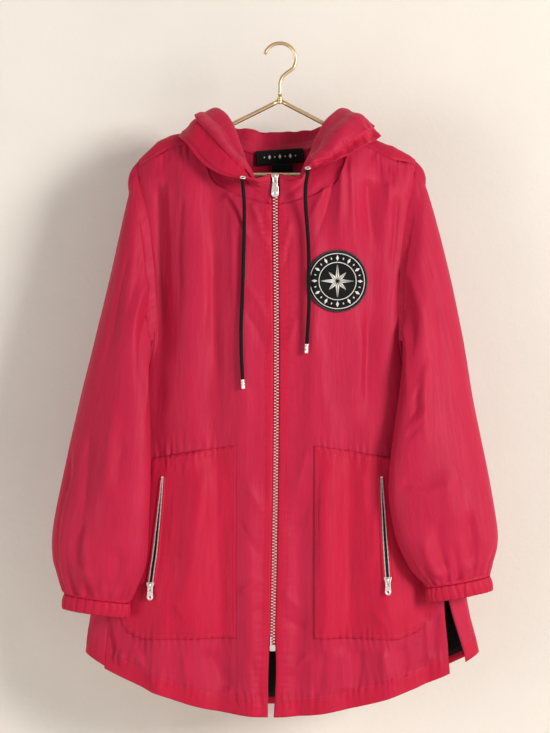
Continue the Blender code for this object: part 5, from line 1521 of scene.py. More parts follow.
def make_cuff(side, seam_ring):
    """A narrow doubled band drawn in by elastic, with uneven gathers."""
    around = 260
    at = np.arange(around) / around * len(seam_ring)
    before = np.floor(at).astype(int)
    part = (at - before)[:, None]
    smooth_ring = seam_ring.copy()
    for _ in range(8):
        ahead, behind = np.roll(smooth_ring, 1, axis=0), np.roll(smooth_ring, -1, axis=0)
        smooth_ring = (ahead + 2 * smooth_ring + behind) / 4
    centre = smooth_ring.mean(axis=0)
    plain = smooth_ring[before] * (1 - part) + smooth_ring[(before + 1) % len(smooth_ring)] * part
    across = smooth_ring[0] - smooth_ring[len(smooth_ring) // 2]
    down = np.array([across[2], 0.0, -across[0]]) * SIDES[side]
    down = down / np.linalg.norm(down)
    turn = np.arange(around) / around
    outward_way = (plain - centre) / np.linalg.norm(plain - centre, axis=1, keepdims=True)
    seed = 141 if side == "right" else 142
    rows = []
    steps = 13
    for step in np.linspace(0, 1, steps):
        draw = np.interp(step, np.linspace(0, 1, len(CUFF_DRAW)), CUFF_DRAW)
        sway = 0.35 * ripple(turn * 26, np.full(around, step * 1.3), seed)
        wave = np.abs(np.cos(np.pi * (CUFF_GATHERS * turn + sway)))
        uneven = 0.75 + 0.7 * ripple(turn * 18, np.full(around, step * 0.8), seed + 3)
        height = 0.0024 * (wave ** 0.7 - 0.55) * uneven
        height = height + 0.0012 * math.sin(math.pi * step) ** 0.6
        ring = centre + (plain - centre) * draw + outward_way * height[:, None]
        rows.append(ring + down * (CUFF_SEAM + CUFF_HEIGHT * step))
    for inner, rise in ((0.0022, 0.0010), (0.0030, 0.0045)):
        ring = centre + (plain - centre) * CUFF_DRAW[-1] - outward_way * inner
        rows.append(ring + down * (CUFF_SEAM + CUFF_HEIGHT - rise))
    piece = cloth_piece(f"cuff_cloth_{side}", np.array(rows), NYLON, 1.0, closed=True, flip=SIDES[side] < 0)
    settle(piece, [f"cuff_{side}"])


# Hood


def hood_section(row, side):
    size = dict(zip(HOOD_COLUMNS, row))
    lift = HOOD_LIFT[side][HOOD_ROWS.index(row)]
    size["edge_drop"] -= lift
    size["low_drop"] -= lift * 0.4
    sign, wide = SIDES[side], HOOD_SPREAD[side]
    seam_turn = turn_of(sign * size["seam_x"], size["seam_drop"])
    if size["seam_turn"] == 180:
        seam_turn = sign * 180 - seam_turn
    seam = body_point(seam_turn, size["seam_drop"] + HOOD_TUCK, -HOOD_TUCK_LIFT)
    if size["seam_turn"] == 90:
        seam = np.array([sign * size["seam_x"], 0.0, -HOOD_TUCK - shoulder_drop(size["seam_x"])])

    def at(name):
        return np.array([sign * wide * size[name + "_x"], size[name + "_y"], -size[name + "_drop"]])

    crest, low, edge = at("crest"), at("low"), at("edge")
    belly = np.array([0.0, size["belly"], 0.0])
    rise = seam + (crest - seam) * HOOD_CREST_SHARE
    return [seam, rise, crest, (crest + low) / 2 - belly, low, (low + edge) / 2 + belly, edge]


HOOD_PROFILE_STEPS = 90
HOOD_SECTION_STEPS = 14


def make_hood():
    sections = [hood_section(row, "right") for row in HOOD_ROWS]
    sections += [hood_section(row, "left") for row in HOOD_ROWS[-2::-1]]
    profiles = np.array([spline(s, HOOD_PROFILE_STEPS) for s in sections])
    places = np.arange(len(sections), dtype=float)
    last = len(sections) - 1
    spans = {
        "right": (0, HOOD_SIDE_ROWS), "centre": (HOOD_SIDE_ROWS, last - HOOD_SIDE_ROWS),
        "left": (last - HOOD_SIDE_ROWS, last),
    }
    for name, (start, end) in spans.items():
        at = np.linspace(start, end, int(round((end - start) * HOOD_SECTION_STEPS)) + 1)
        lines = [through(places, profiles[:, j, k], at) for j in range(HOOD_PROFILE_STEPS) for k in range(3)]
        net = np.stack(lines).reshape(HOOD_PROFILE_STEPS, 3, len(at)).transpose(0, 2, 1)
        share = np.arange(HOOD_PROFILE_STEPS)[:, None] / (HOOD_PROFILE_STEPS - 1)
        height, doubled = hood_relief(name, share, at[None, :])
        net = moved_out(net, height, flip=True)
        piece = cloth_piece(f"hood_cloth_{name}", net, NYLON, doubled, flip=True)
        settle(piece, [f"hood_{name}"])
        seam_row = int(HOOD_CASING[name] * (HOOD_PROFILE_STEPS - 1)) + 2
        STITCH_LINES.append(moved_out(net, STITCH_LIFT, flip=True)[seam_row + 1])


HOOD_CASING = {"right": 0.70, "left": 0.865, "centre": 0.79}
HOOD_LAPS = {
    "right": ((0.70, 4.5, 14.0), (0.935, 2.2, 9.0)),
    "left": ((0.865, 3.0, 16.0),),
    "centre": ((0.79, 1.5, 14.0),),
}
HOOD_FOLDS = {"right": (46.0, 22.0, 0.0042), "left": (26.0, 24.0, 0.0044), "centre": (11.0, 60.0, 0.0100)}
HOOD_INSET = {"right": 0.0026, "left": 0.0022, "centre": 0.0}
HOOD_PUCKERS = {"right": 0.0014, "left": 0.0058, "centre": 0.0016}
HOOD_PUCKER_FADE = 1.6
HOOD_RELIEF_FADE = {"right": 0.6, "left": 0.6, "centre": 1.4}
HOOD_LENGTH_MM = 140.0
HOOD_CREASES = {
    "right": (
        (28, 34, 150, 44, 4, 3, 6, -2.4, 0.20, 0.30),
        (40, 58, 160, 74, -4, 3, 7, 2.2, 0.20, 0.30),
        (24, 84, 120, 72, 3, 3, 5, -2.0, 0.20, 0.40),
        (16, 52, 44, 30, 2, 3, 5, -2.2, 0.10, 0.40),
        (18, 74, 50, 92, -2, 3, 4, -2.0, 0.10, 0.40),
    ),
    "left": (
        (26, 30, 150, 52, 4, 3, 6, -2.4, 0.20, 0.30),
        (34, 66, 150, 58, -4, 3, 7, 2.4, 0.20, 0.30),
        (20, 90, 110, 98, 3, 3, 5, -2.0, 0.20, 0.40),
        (14, 48, 48, 66, 2, 3, 5, -2.2, 0.10, 0.40),
        (70, 30, 110, 90, 3, 3, 6, 1.8, 0.20, 0.30),
    ),
    "centre": (),
}


def lap(distance, rise, reach):
    """One layer folded over the next: a sharp rise at the fold, then an easy fall."""
    edge = smooth_step(distance / 1.8 + 0.5)
    over = rise * edge * np.exp(-np.maximum(distance, 0) / reach)
    under = 0.35 * rise * (1 - edge) * np.exp(np.minimum(distance, 0) / 7)
    return (over - under) * MM


def hood_relief(name, share, at):
    """Creases of the rolled hood; share runs from the neck seam to the casing edge, at along its sections."""
    u, v = at * 25.0, share * HOOD_LENGTH_MM
    long_fold, wide_fold, tall = HOOD_FOLDS[name]
    casing = HOOD_CASING[name]
    height = 1.2 * crinkle(v, u, 160) + tall * ripple(u / long_fold, v / wide_fold, 165)
    height = height + 0.0012 * ripple(u / 15, v / 30, 166) + creases(HOOD_CREASES[name], u, v)
    for place, rise, reach in HOOD_LAPS[name]:
        wander = 2.0 * ripple(u / 24, 0.3 + 0 * v, 169)
        height = height + lap(v - place * HOOD_LENGTH_MM + wander, rise, reach)
    ends = np.minimum(at - at.min(), at.max() - at)
    puckers = ripple(u / 8, v / 26, 167) + 0.7 * ripple(u / 4.5, v / 18, 168)
    puckers = puckers * smooth_step(ends / HOOD_PUCKER_FADE)
    height = height + HOOD_PUCKERS[name] * puckers * bell(share - casing - 0.04, 0.11)
    height = height + groove(share - 0.975, 0.008, 0.0008) - HOOD_INSET[name]
    height = height * smooth_step(ends / HOOD_RELIEF_FADE[name]) * smooth_step(share / 0.10)
    return height, 0.15 + 0.7 * smooth_step((share - casing) / 0.015) + 0 * at


# Hanger


WIRE_RADIUS = 0.0026
ARM_RADIUS = 0.0031
BAR_RADIUS = 0.0033
HOOK_RADIUS = 0.0224
HOOK_TIP_ANGLE = 163.0
HOOK_LAST_ANGLE = -38.0
HOOK_STEM = ((0.0085, 0.0400), (0.0028, 0.0462), (0.0002, 0.0530), (0.0000, 0.0620))
HANGER_APEX_DROP = 0.0784
JOINT_HALF = 0.0046
JOINT_RADIUS = 0.0042
HANGER_ARM_ENDS = {"right": (0.170, 0.1628), "left": (0.164, 0.1634)}
HANGER_BAR_DROP = 0.1834
# The collar's profile as (share of its half length, share of its radius)
COLLAR_PROFILE = (
    (-1.0, 0.80), (-0.92, 0.98), (-0.70, 1.0), (-0.62, 0.90), (-0.54, 1.0), (-0.05, 1.0), (0.0, 0.92),
    (0.05, 1.0), (0.54, 1.0), (0.62, 0.90), (0.70, 1.0), (0.92, 0.98), (1.0, 0.80),
)


def make_hanger():
    """The wire hook, its collar, two straight arms and the bar below, bent round at both ends."""
    low = HOOK_RADIUS - WIRE_RADIUS
    path = []
    for angle in np.radians(np.linspace(HOOK_TIP_ANGLE, HOOK_LAST_ANGLE, 15)):
        path.append((HOOK_RADIUS * math.cos(angle), 0.0, HOOK_RADIUS * math.sin(angle) - low))
    path += [(x, 0.0, -drop) for x, drop in HOOK_STEM]
    path.append((0.0, 0.0, -HANGER_APEX_DROP + JOINT_HALF))
    route, radii = rounded_ends(spline(path, 90), WIRE_RADIUS)
    settle(tube_mesh("brass_hook", route, radii, BRASS, 20, on_garment=False), ["hanger_hook"])
    line = [(0.0, 0.0, -HANGER_APEX_DROP - JOINT_HALF * along) for along, _ in COLLAR_PROFILE]
    widths = [JOINT_RADIUS * wide for _, wide in COLLAR_PROFILE]
    joint = tube_mesh("brass_collar", line, widths, BRASS, 28, on_garment=False)
    settle(joint, ["hanger_joint"])
    bar = []
    for side, sign in SIDES.items():
        end_x, end_drop = HANGER_ARM_ENDS[side]
        slope = (end_drop - HANGER_APEX_DROP) / end_x
        start_x = JOINT_RADIUS * 0.7
        start = (sign * start_x, 0.0, -HANGER_APEX_DROP - slope * start_x)
        arm = np.linspace(start, (sign * end_x, 0.0, -end_drop), 24)
        rod = tube_mesh(f"brass_arm_{side}", arm, ARM_RADIUS, BRASS, 20, on_garment=False)
        settle(rod, [f"hanger_arm_{side}"])
        step = np.array([1.0, 0.0, -slope]) / math.hypot(1.0, slope)
        first = np.array([end_x, 0.0, -end_drop])
        middle_drop = (end_drop + HANGER_BAR_DROP) / 2 + 0.001
        turn_centre = np.array([end_x - 0.001, 0.0, -middle_drop])
        bend = [first, first + step * 0.004]
        for angle in np.radians((20, -15, -50, -90)):
            way = np.array([math.cos(angle), 0.0, math.sin(angle)])
            bend.append(turn_centre + (HANGER_BAR_DROP - middle_drop) * way)
        bend = [(sign * x, y, z) for x, y, z in bend]
        bar = bend + bar if side == "right" else bar + bend[::-1]
    rod = tube_mesh("brass_bar", spline(bar, 120), BAR_RADIUS, BRASS, 20, on_garment=False)
    settle(rod, ["hanger_bar"])


# Repeated pieces: teeth and stitches set along lines


LINES_INPUTS = (
    ("Lines", "Geometry"), ("Piece", "Object"), ("Pitch", "Float"), ("Stagger", "Float"), ("Follow", "Bool"),
    ("Unevenness", "Float"), ("Seed", "Int"), ("Finish", "Material"),
)


def lines_tree():
    """Sets one small piece along each line of a mesh: evenly, staggered to both sides, or turned with it."""
    tree = bpy.data.node_groups.new("set_along_lines", "GeometryNodeTree")
    for label, kind in LINES_INPUTS:
        tree.interface.new_socket(label, in_out="INPUT", socket_type="NodeSocket" + kind)
    tree.interface.new_socket("Pieces", in_out="OUTPUT", socket_type="NodeSocketGeometry")
    start, end = add(tree, "NodeGroupInput"), add(tree, "NodeGroupOutput")
    join = tree.links.new
    curve = add(tree, "GeometryNodeMeshToCurve")
    join(start.outputs["Lines"], curve.inputs["Mesh"])
    points = add(tree, "GeometryNodeCurveToPoints", mode="LENGTH")
    join(curve.outputs["Curve"], points.inputs["Curve"])
    join(start.outputs["Pitch"], points.inputs["Length"])
    parity = math_node(tree, "MODULO", add(tree, "GeometryNodeInputIndex").outputs[0], 2.0)
    way = math_node(tree, "SUBTRACT", math_node(tree, "MULTIPLY", parity, 2.0), 1.0)
    aside = add(tree, "ShaderNodeCombineXYZ")
    join(math_node(tree, "MULTIPLY", way, start.outputs["Stagger"]), aside.inputs["X"])
    chance = add(tree, "FunctionNodeRandomValue", data_type="FLOAT_VECTOR")
    chance.inputs[0].default_value = (-1.0, -0.2, -1.0)
    chance.inputs[1].default_value = (1.0, 0.2, 1.0)
    join(start.outputs["Seed"], chance.inputs["Seed"])
    uneven = add(tree, "ShaderNodeVectorMath", operation="SCALE")
    join(chance.outputs[0], uneven.inputs[0])
    join(start.outputs["Unevenness"], uneven.inputs["Scale"])
    total = add(tree, "ShaderNodeVectorMath", operation="ADD")
    join(aside.outputs[0], total.inputs[0])
    join(uneven.outputs[0], total.inputs[1])
    moved = add(tree, "GeometryNodeSetPosition")
    join(points.outputs["Points"], moved.inputs["Geometry"])
    join(total.outputs[0], moved.inputs["Offset"])
    turn = add(tree, "GeometryNodeSwitch", input_type="ROTATION")
    join(start.outputs["Follow"], turn.inputs["Switch"])
    join(points.outputs["Rotation"], turn.inputs["True"])
    shape = add(tree, "GeometryNodeObjectInfo")
    join(start.outputs["Piece"], shape.inputs["Object"])
    copies = add(tree, "GeometryNodeInstanceOnPoints")
    join(moved.outputs["Geometry"], copies.inputs["Points"])
    join(shape.outputs["Geometry"], copies.inputs["Instance"])
    join(turn.outputs[0], copies.inputs["Rotation"])
    real = add(tree, "GeometryNodeRealizeInstances")
    join(copies.outputs[0], real.inputs[0])
    dress = add(tree, "GeometryNodeSetMaterial")
    join(real.outputs[0], dress.inputs["Geometry"])
    join(start.outputs["Finish"], dress.inputs["Material"])
    join(dress.outputs[0], end.inputs["Pieces"])
    return tree


LINES_TREE = lines_tree()


def set_along(name, lines, shape, pitch, finish, stagger=0.0, follow=False, unevenness=0.0, seed=1):
    """Bakes a piece set along lines into one plain mesh."""
    vertices, edges = [], []
    for line in lines:
        first = len(vertices)
        vertices.extend((x + GARMENT_X, y, z) for x, y, z in line)
        edges.extend((first + n, first + n + 1) for n in range(len(line) - 1))
    guide_mesh = bpy.data.meshes.new(name + "_lines")
    guide_mesh.from_pydata(vertices, edges, [])
    guide = link(bpy.data.objects.new(name + "_lines", guide_mesh))
    setter = guide.modifiers.new("along", "NODES")
    setter.node_group = LINES_TREE
    items = LINES_TREE.interface.items_tree
    sockets = {item.name: item.identifier for item in items if item.in_out == "INPUT"}
    values = {"Piece": shape, "Pitch": pitch, "Stagger": stagger, "Follow": follow, "Unevenness": unevenness,
              "Seed": seed, "Finish": finish}
    for label, value in values.items():
        setter[sockets[label]] = value
    guide.update_tag()
    graph = bpy.context.evaluated_depsgraph_get()
    graph.update()
    mesh = bpy.data.meshes.new_from_object(guide.evaluated_get(graph))
    mesh.name = name
    bpy.data.objects.remove(guide)
    bpy.data.objects.remove(shape)
    if not mesh.materials:
        mesh.materials.append(finish)
    return link(bpy.data.objects.new(name, mesh))


def bevelled_box(name, size, bevel, segments=1):
    mesh = bpy.data.meshes.new(name)
    shape = bmesh.new()
    bmesh.ops.create_cube(shape, size=1.0)
    bmesh.ops.scale(shape, vec=size, verts=shape.verts)
    bmesh.ops.bevel(shape, geom=shape.edges, offset=bevel, segments=segments, affect="EDGES")
    shape.to_mesh(mesh)
    shape.free()
    return link(bpy.data.objects.new(name, mesh))


def stitch_shape():
    """One stitch: a short thread that dips into the cloth at both ends, along Z."""
    mesh = bpy.data.meshes.new("stitch")
    shape = bmesh.new()
    bmesh.ops.create_cone(shape, cap_ends=True, segments=6, radius1=0.00016, radius2=0.00016, depth=0.0025)
    lengthwise = [e for e in shape.edges if abs(e.verts[0].co.z - e.verts[1].co.z) > 0.001]
    bmesh.ops.subdivide_edges(shape, edges=lengthwise, cuts=1)
    for vertex in shape.verts:
        if abs(vertex.co.z) < 0.0005:
            vertex.co.x *= 1.5
            vertex.co.y *= 1.5
    shape.to_mesh(mesh)
    shape.free()
    return link(bpy.data.objects.new("stitch", mesh))


def make_stitches():
    lines = [line for line in STITCH_LINES if len(line) > 2]
    sewn = set_along("seam_stitches", lines, stitch_shape(), STITCH_PITCH, PINK_THREAD, follow=True,
                     unevenness=STITCH_UNEVENNESS)
    settle(sewn, [])


# Zips


CHAIN_PITCH = 0.0021
TOOTH_SIZE = (0.0033, 0.0019, 0.0012)
TAPE_HALF = 0.0110
MAIN_SLIDER_DROP = 0.1905
SLIDER_STAND = 0.0052
POCKET_SLIDER_DROP = {"right": 0.7555, "left": 0.7475}
POCKET_SLIDER_STAND = 0.0105
MAIN_PULL = (0.0105, 0.0290)
POCKET_PULL = (0.0085, 0.0210)
PULL_THICKNESS = 0.0016
PULL_CORNER = 0.0012
TOOTH_STAGGER = 0.0017
STOP_BOX_SIZE = (0.0080, 0.0030, 0.0085)
STOP_PIN_SIZE = (0.0018, 0.0022, 0.0140)
STOP_PIN_PLACE = (-0.0024, -0.0006, 0.0090)
POCKET_TOOTH_SIZE = (0.0017, 0.0014, 0.0010)
POCKET_TOOTH_PITCH = 0.0017
POCKET_STOP_SIZE = (0.0034, 0.0018, 0.0022)
POCKET_BAG_DEPTH = 0.0006
WELT_PROFILE = ((0.0004, 0.0005), (0.0016, 0.0002), (0.0032, 0.0006), (0.0060, 0.0035))
PULL_EYE = (0.0023, 0.0010, 0.0086)


def joined(name, parts, finish, smooth_angle=40.0):
    """Several meshes as one piece in one finish."""
    shape = bmesh.new()
    for part in parts:
        shape.from_mesh(part.data)
        bpy.data.objects.remove(part)
    bmesh.ops.recalc_face_normals(shape, faces=shape.faces)
    mesh = bpy.data.meshes.new(name)
    for face in shape.faces:
        face.smooth = True
        face.material_index = 0
    limit = math.radians(smooth_angle)
    for edge in shape.edges:
        if len(edge.link_faces) == 2 and edge.calc_face_angle() > limit:
            edge.smooth = False
    shape.to_mesh(mesh)
    shape.free()
    mesh.materials.append(finish)
    return link(bpy.data.objects.new(name, mesh))


def rounded_plate(name, outlines, thickness, rounding):
    """A flat plate in the XZ plane with rounded edges, from an outline and the holes in it."""
    curve = bpy.data.curves.new(name, "CURVE")
    curve.dimensions = "2D"
    curve.fill_mode = "BOTH"
    curve.extrude = thickness / 2 - rounding
    curve.bevel_depth = rounding
    curve.bevel_resolution = 2
    curve.offset = -rounding
    for outline in outlines:
        line = curve.splines.new("POLY")
        line.points.add(len(outline) - 1)
        line.use_cyclic_u = True
        for point, (x, z) in zip(line.points, outline):
            point.co = (x, z, 0.0, 1.0)
    flat = link(bpy.data.objects.new(name, curve))
    mesh = bpy.data.meshes.new_from_object(flat.evaluated_get(bpy.context.evaluated_depsgraph_get()))
    bpy.data.objects.remove(flat)
    for vertex in mesh.vertices:
        x, z, y = vertex.co
        vertex.co = (x, -y, z)
    return link(bpy.data.objects.new(name, mesh))


def moved(obj, place):
    for vertex in obj.data.vertices:
        vertex.co.x += float(place[0])
        vertex.co.y += float(place[1])
        vertex.co.z += float(place[2])
    return obj


def arc(centre, radius, first, last, steps):
    turns = np.radians(np.linspace(first, last, steps))
    return [(centre[0] + radius * math.cos(t), centre[1] + radius * math.sin(t)) for t in turns]


def make_pull(name, node, size, pivot, end_hole):
    """A pull tab: a slot round the slider's bridge, a broad end with a raised ring, and a hole if asked."""
    width, length = size
    half = width / 2
    eye_half, bar, eye_low = PULL_EYE
    top = eye_half + bar
    outline = arc((top - PULL_CORNER, bar - PULL_CORNER), PULL_CORNER, 0, 90, 4)
    outline += arc((-top + PULL_CORNER, bar - PULL_CORNER), PULL_CORNER, 90, 180, 4)
    outline += [(-top * 1.02, -eye_low), (-half * 0.86, -length * 0.55)]
    outline += arc((0.0, -length + half), half, 180, 360, 18)
    outline += [(half * 0.86, -length * 0.55), (top * 1.02, -eye_low)]
    corner = 0.0009
    eye = arc((eye_half - corner, -bar - corner), corner, 0, 90, 4)
    eye += arc((-eye_half + corner, -bar - corner), corner, 90, 180, 4)
    eye += arc((-eye_half + corner, -eye_low + corner), corner, 180, 270, 4)
    eye += arc((eye_half - corner, -eye_low + corner), corner, 270, 360, 4)
    holes = [eye[::-1]]
    if end_hole:
        holes.append(arc((0.0, -length + half), half * 0.40, 360, 0, 19)[:-1])
    plate = rounded_plate(name + "_plate", [outline] + holes, PULL_THICKNESS, 0.0003)
    circle = arc((0.0, -length + half), half * 0.62, 0, 360, 33)[:-1]
    ring_path = [(x, -PULL_THICKNESS / 2, z) for x, z in circle]
    ring = tube_mesh(name + "_ring", ring_path, 0.00042, SILVER, 8, closed=True, on_garment=False)
    panel_path = [(x, -PULL_THICKNESS / 2 + 0.0001, z) for x, z in (
        (-half * 0.42, -eye_low - 0.0022), (half * 0.42, -eye_low - 0.0022),
        (half * 0.5, -length + half * 1.9), (-half * 0.5, -length + half * 1.9))]
    panel = tube_mesh(name + "_panel", panel_path, 0.00022, SILVER, 6, closed=True, on_garment=False)
    tab = moved(joined(name, [plate, ring, panel], SILVER), pivot + ON_GARMENT)
    settle(tab, [node], node + "_body")


def make_slider(name, node, pivot):
    """A zip slider: two plates with a flared crown, joined by a core, and the bridge that holds the pull."""
    outline = [(-0.0026, 0.0035), (-0.0034, 0.0029), (-0.0046, 0.0034), (-0.0052, 0.0026), (-0.0050, 0.0004),
               (-0.0036, -0.0032), (-0.0035, -0.0088), (-0.0029, -0.0095)]
    outline = outline + [(-x, z) for x, z in outline[::-1]]
    window = [(-0.0012, -0.0054), (0.0012, -0.0054), (0.0012, -0.0082), (-0.0012, -0.0082)]
    front = moved(rounded_plate(name + "_front", [outline, window], 0.0014, 0.0003), (0.0, 0.0026, 0.0))
    back = moved(rounded_plate(name + "_back", [outline], 0.0014, 0.0004), (0.0, 0.0052, 0.0))
    core = moved(bevelled_box(name + "_core", (0.0030, 0.0030, 0.0075), 0.0003), (0.0, 0.0039, -0.0015))
    loop = [(0.0, 0.0026, 0.0026), (0.0, 0.0002, 0.0027), (0.0, -0.0018, 0.0022), (0.0, -0.0026, 0.0006),
            (0.0, -0.0026, -0.0010), (0.0, -0.0016, -0.0023), (0.0, 0.0004, -0.0027), (0.0, 0.0026, -0.0027)]
    bridge = tube_mesh(name + "_bridge", spline(loop, 26), 0.00062, SILVER, 10, on_garment=False)
    for vertex in bridge.data.vertices:
        vertex.co.x *= 1.9
    slider = moved(joined(name, [front, back, core, bridge], SILVER), pivot + ON_GARMENT)
    settle(slider, [node])


def make_main_zip():
    """Tape, two meshed rows of teeth, a bottom stop, the slider and its pull."""
    drops = np.linspace(ZIP_TOP_DROP - 0.0150, ZIP_END_DROP + 0.004, 190)
    middle = table(ZIP_LINE_ROWS, ZIP_LINE_COLUMNS, "x", drops)
    across = np.linspace(-TAPE_HALF, TAPE_HALF, 13)
    face = front_face(middle, drops, -0.0012)
    tape = np.stack([face + np.array([x, 0.0, 0.0]) for x in across], axis=1)
    tape[..., 1] -= 0.0009 * bell(across, 0.0032)[None, :]
    piece = cloth_piece("zip_tape", tape, TAPE, 1.0, flip=True)
    settle(piece, [])
    drops = np.linspace(ZIP_TOP_DROP, ZIP_END_DROP - 0.006, 240)
    middle = table(ZIP_LINE_ROWS, ZIP_LINE_COLUMNS, "x", drops)
    line = front_face(middle, drops, 0.0004)
    tooth = bevelled_box("tooth", TOOTH_SIZE, 0.00035)
    teeth = set_along("zip_teeth", [line], tooth, CHAIN_PITCH, TEETH, stagger=TOOTH_STAGGER)
    settle(teeth, ["zip_chain"])
    end_x = table(ZIP_LINE_ROWS, ZIP_LINE_COLUMNS, "x", ZIP_END_DROP)
    stop_at = front_face(end_x, np.array(ZIP_END_DROP), 0.0006) + ON_GARMENT
    box = moved(bevelled_box("stop_box", STOP_BOX_SIZE, 0.0008, 3), stop_at)
    pin = moved(bevelled_box("stop_pin", STOP_PIN_SIZE, 0.0005, 2), stop_at + np.array(STOP_PIN_PLACE))
    settle(joined("zip_stop", [box, pin], SILVER), [])
    pivot = front_face(np.array(0.0), np.array(MAIN_SLIDER_DROP), SLIDER_STAND)
    make_slider("main_slider", "zip_slider", pivot)
    make_pull("main_pull", "zip_pull", MAIN_PULL, pivot, False)


def make_pocket_zips(layers):
    """Each pocket's zip, open from its top stop down to the slider, with a dark sheet in the gap for the
    pocket's inside, partly the lining's colour and partly painted shade.
    """
    zip_column = FRONT_COLUMN_COUNTS[1]
    for side, sign in SIDES.items():
        layer = layers[side]
        drop = np.array(POCKET_SLIDER_DROP[side])
        x = sign * table(POCKET_ZIP_ROWS, POCKET_ZIP_COLUMNS, f"{side}_x", drop)
        pivot = front_face(x, drop, POCKET_SLIDER_STAND)
        wanted = np.linspace(POCKET_ZIP_SPAN[0], float(drop) + 0.002, 70)
        column_drops = -layer[:, zip_column, 2]

        def read(at):
            return np.stack([np.interp(wanted, column_drops, layer[:, at, k]) for k in range(3)], axis=1)

        middle = read(zip_column)
        aside = read(zip_column + 2) - read(zip_column - 2)
        aside = aside / np.linalg.norm(aside, axis=1, keepdims=True)
        share = np.linspace(0, 1, len(wanted))[:, None]
        reach = middle[-1, 1] - (pivot[1] + 0.0040)
        middle = middle + np.array([0.0, -1.0, 0.0]) * (0.0011 + (reach - 0.0011) * share ** 3)
        middle[:, 0] += (pivot[0] - middle[-1, 0]) * share[:, 0] ** 2
        gap = 0.0007 + 0.0021 * np.sin(np.clip(share, 0, 1) * np.pi / 2) ** 0.8
        rows = [middle - aside * gap, middle + aside * gap]
        tooth = bevelled_box("pocket_tooth", POCKET_TOOTH_SIZE, 0.0003)
        teeth = set_along(f"pocket_teeth_{side}", rows, tooth, POCKET_TOOTH_PITCH, TEETH)
        settle(teeth, [f"pocket_zip_{side}"])
        # A dark lining sheet just behind the open teeth stands for the pocket's inside: partly the lining's
        # own colour, partly painted shade where the pocket is deep and unlit.
        inward = np.array([0.0, POCKET_BAG_DEPTH, 0.0])
        bag = np.stack([middle + aside * gap * s + inward for s in (-1, -0.5, 0, 0.5, 1)], axis=1)
        dark = cloth_piece(f"pocket_bag_{side}", bag, LINING, flip=True, wall=0.0003)
        settle(dark, [])
        edges = []
        for s in (-1, 1):
            welt = [middle + aside * (s * (gap + step)) + np.array([0.0, depth, 0.0])
                    for step, depth in WELT_PROFILE]
            edges.append(np.stack(welt[::s], axis=1))
        for n, net in enumerate(edges):
            tape = cloth_piece(f"pocket_welt_{side}_{n + 1}", net, NYLON, 1.0, flip=True, wall=0.0004)
            settle(tape, [])
        stop = moved(bevelled_box(f"pocket_stop_{side}", POCKET_STOP_SIZE, 0.0005, 2),
                     middle[0] + np.array([GARMENT_X, 0.0, 0.0008]))
        settle(joined(f"pocket_stop_{side}", [stop], SILVER), [])
        make_slider(f"pocket_slide_{side}", f"pocket_slider_{side}", pivot)
        make_pull(f"pocket_tab_{side}", f"pocket_pull_{side}", POCKET_PULL, pivot, True)


# Badge and labels


BADGE_EDGE_RADIUS = BADGE_RADIUS - 0.0012
BADGE_EDGE_LIFT = 0.0002


def badge_point(radius, turn, lift):
    """A point over the badge's place on the front; turn in degrees from its right-hand side."""
    x = BADGE_X + radius * np.cos(np.radians(turn))
    drop = BADGE_DROP - radius * np.sin(np.radians(turn))
    return front_face(x, drop, BADGE_LIFT + lift)


def badge_ring(name, radius, thick, lift, finish):
    path = badge_point(radius, np.linspace(0, 360, 121)[:-1], lift)
    return tube_mesh(name, path, thick, finish, 8, closed=True)


def raised_patch(outline, lift, rise):
    """A padded stitched shape: an outline of (radius, turn) with a raised middle, as vertices and faces."""
    rim = [badge_point(radius, turn, lift) for radius, turn in outline]
    places = [(r * math.cos(math.radians(t)), r * math.sin(math.radians(t))) for r, t in outline]
    x, z = np.mean(places, axis=0)
    centre = badge_point(float(np.hypot(x, z)), float(np.degrees(np.arctan2(z, x))), lift + rise)
    faces = [(n, (n + 1) % len(rim), len(rim)) for n in range(len(rim))]
    return rim + [centre], faces


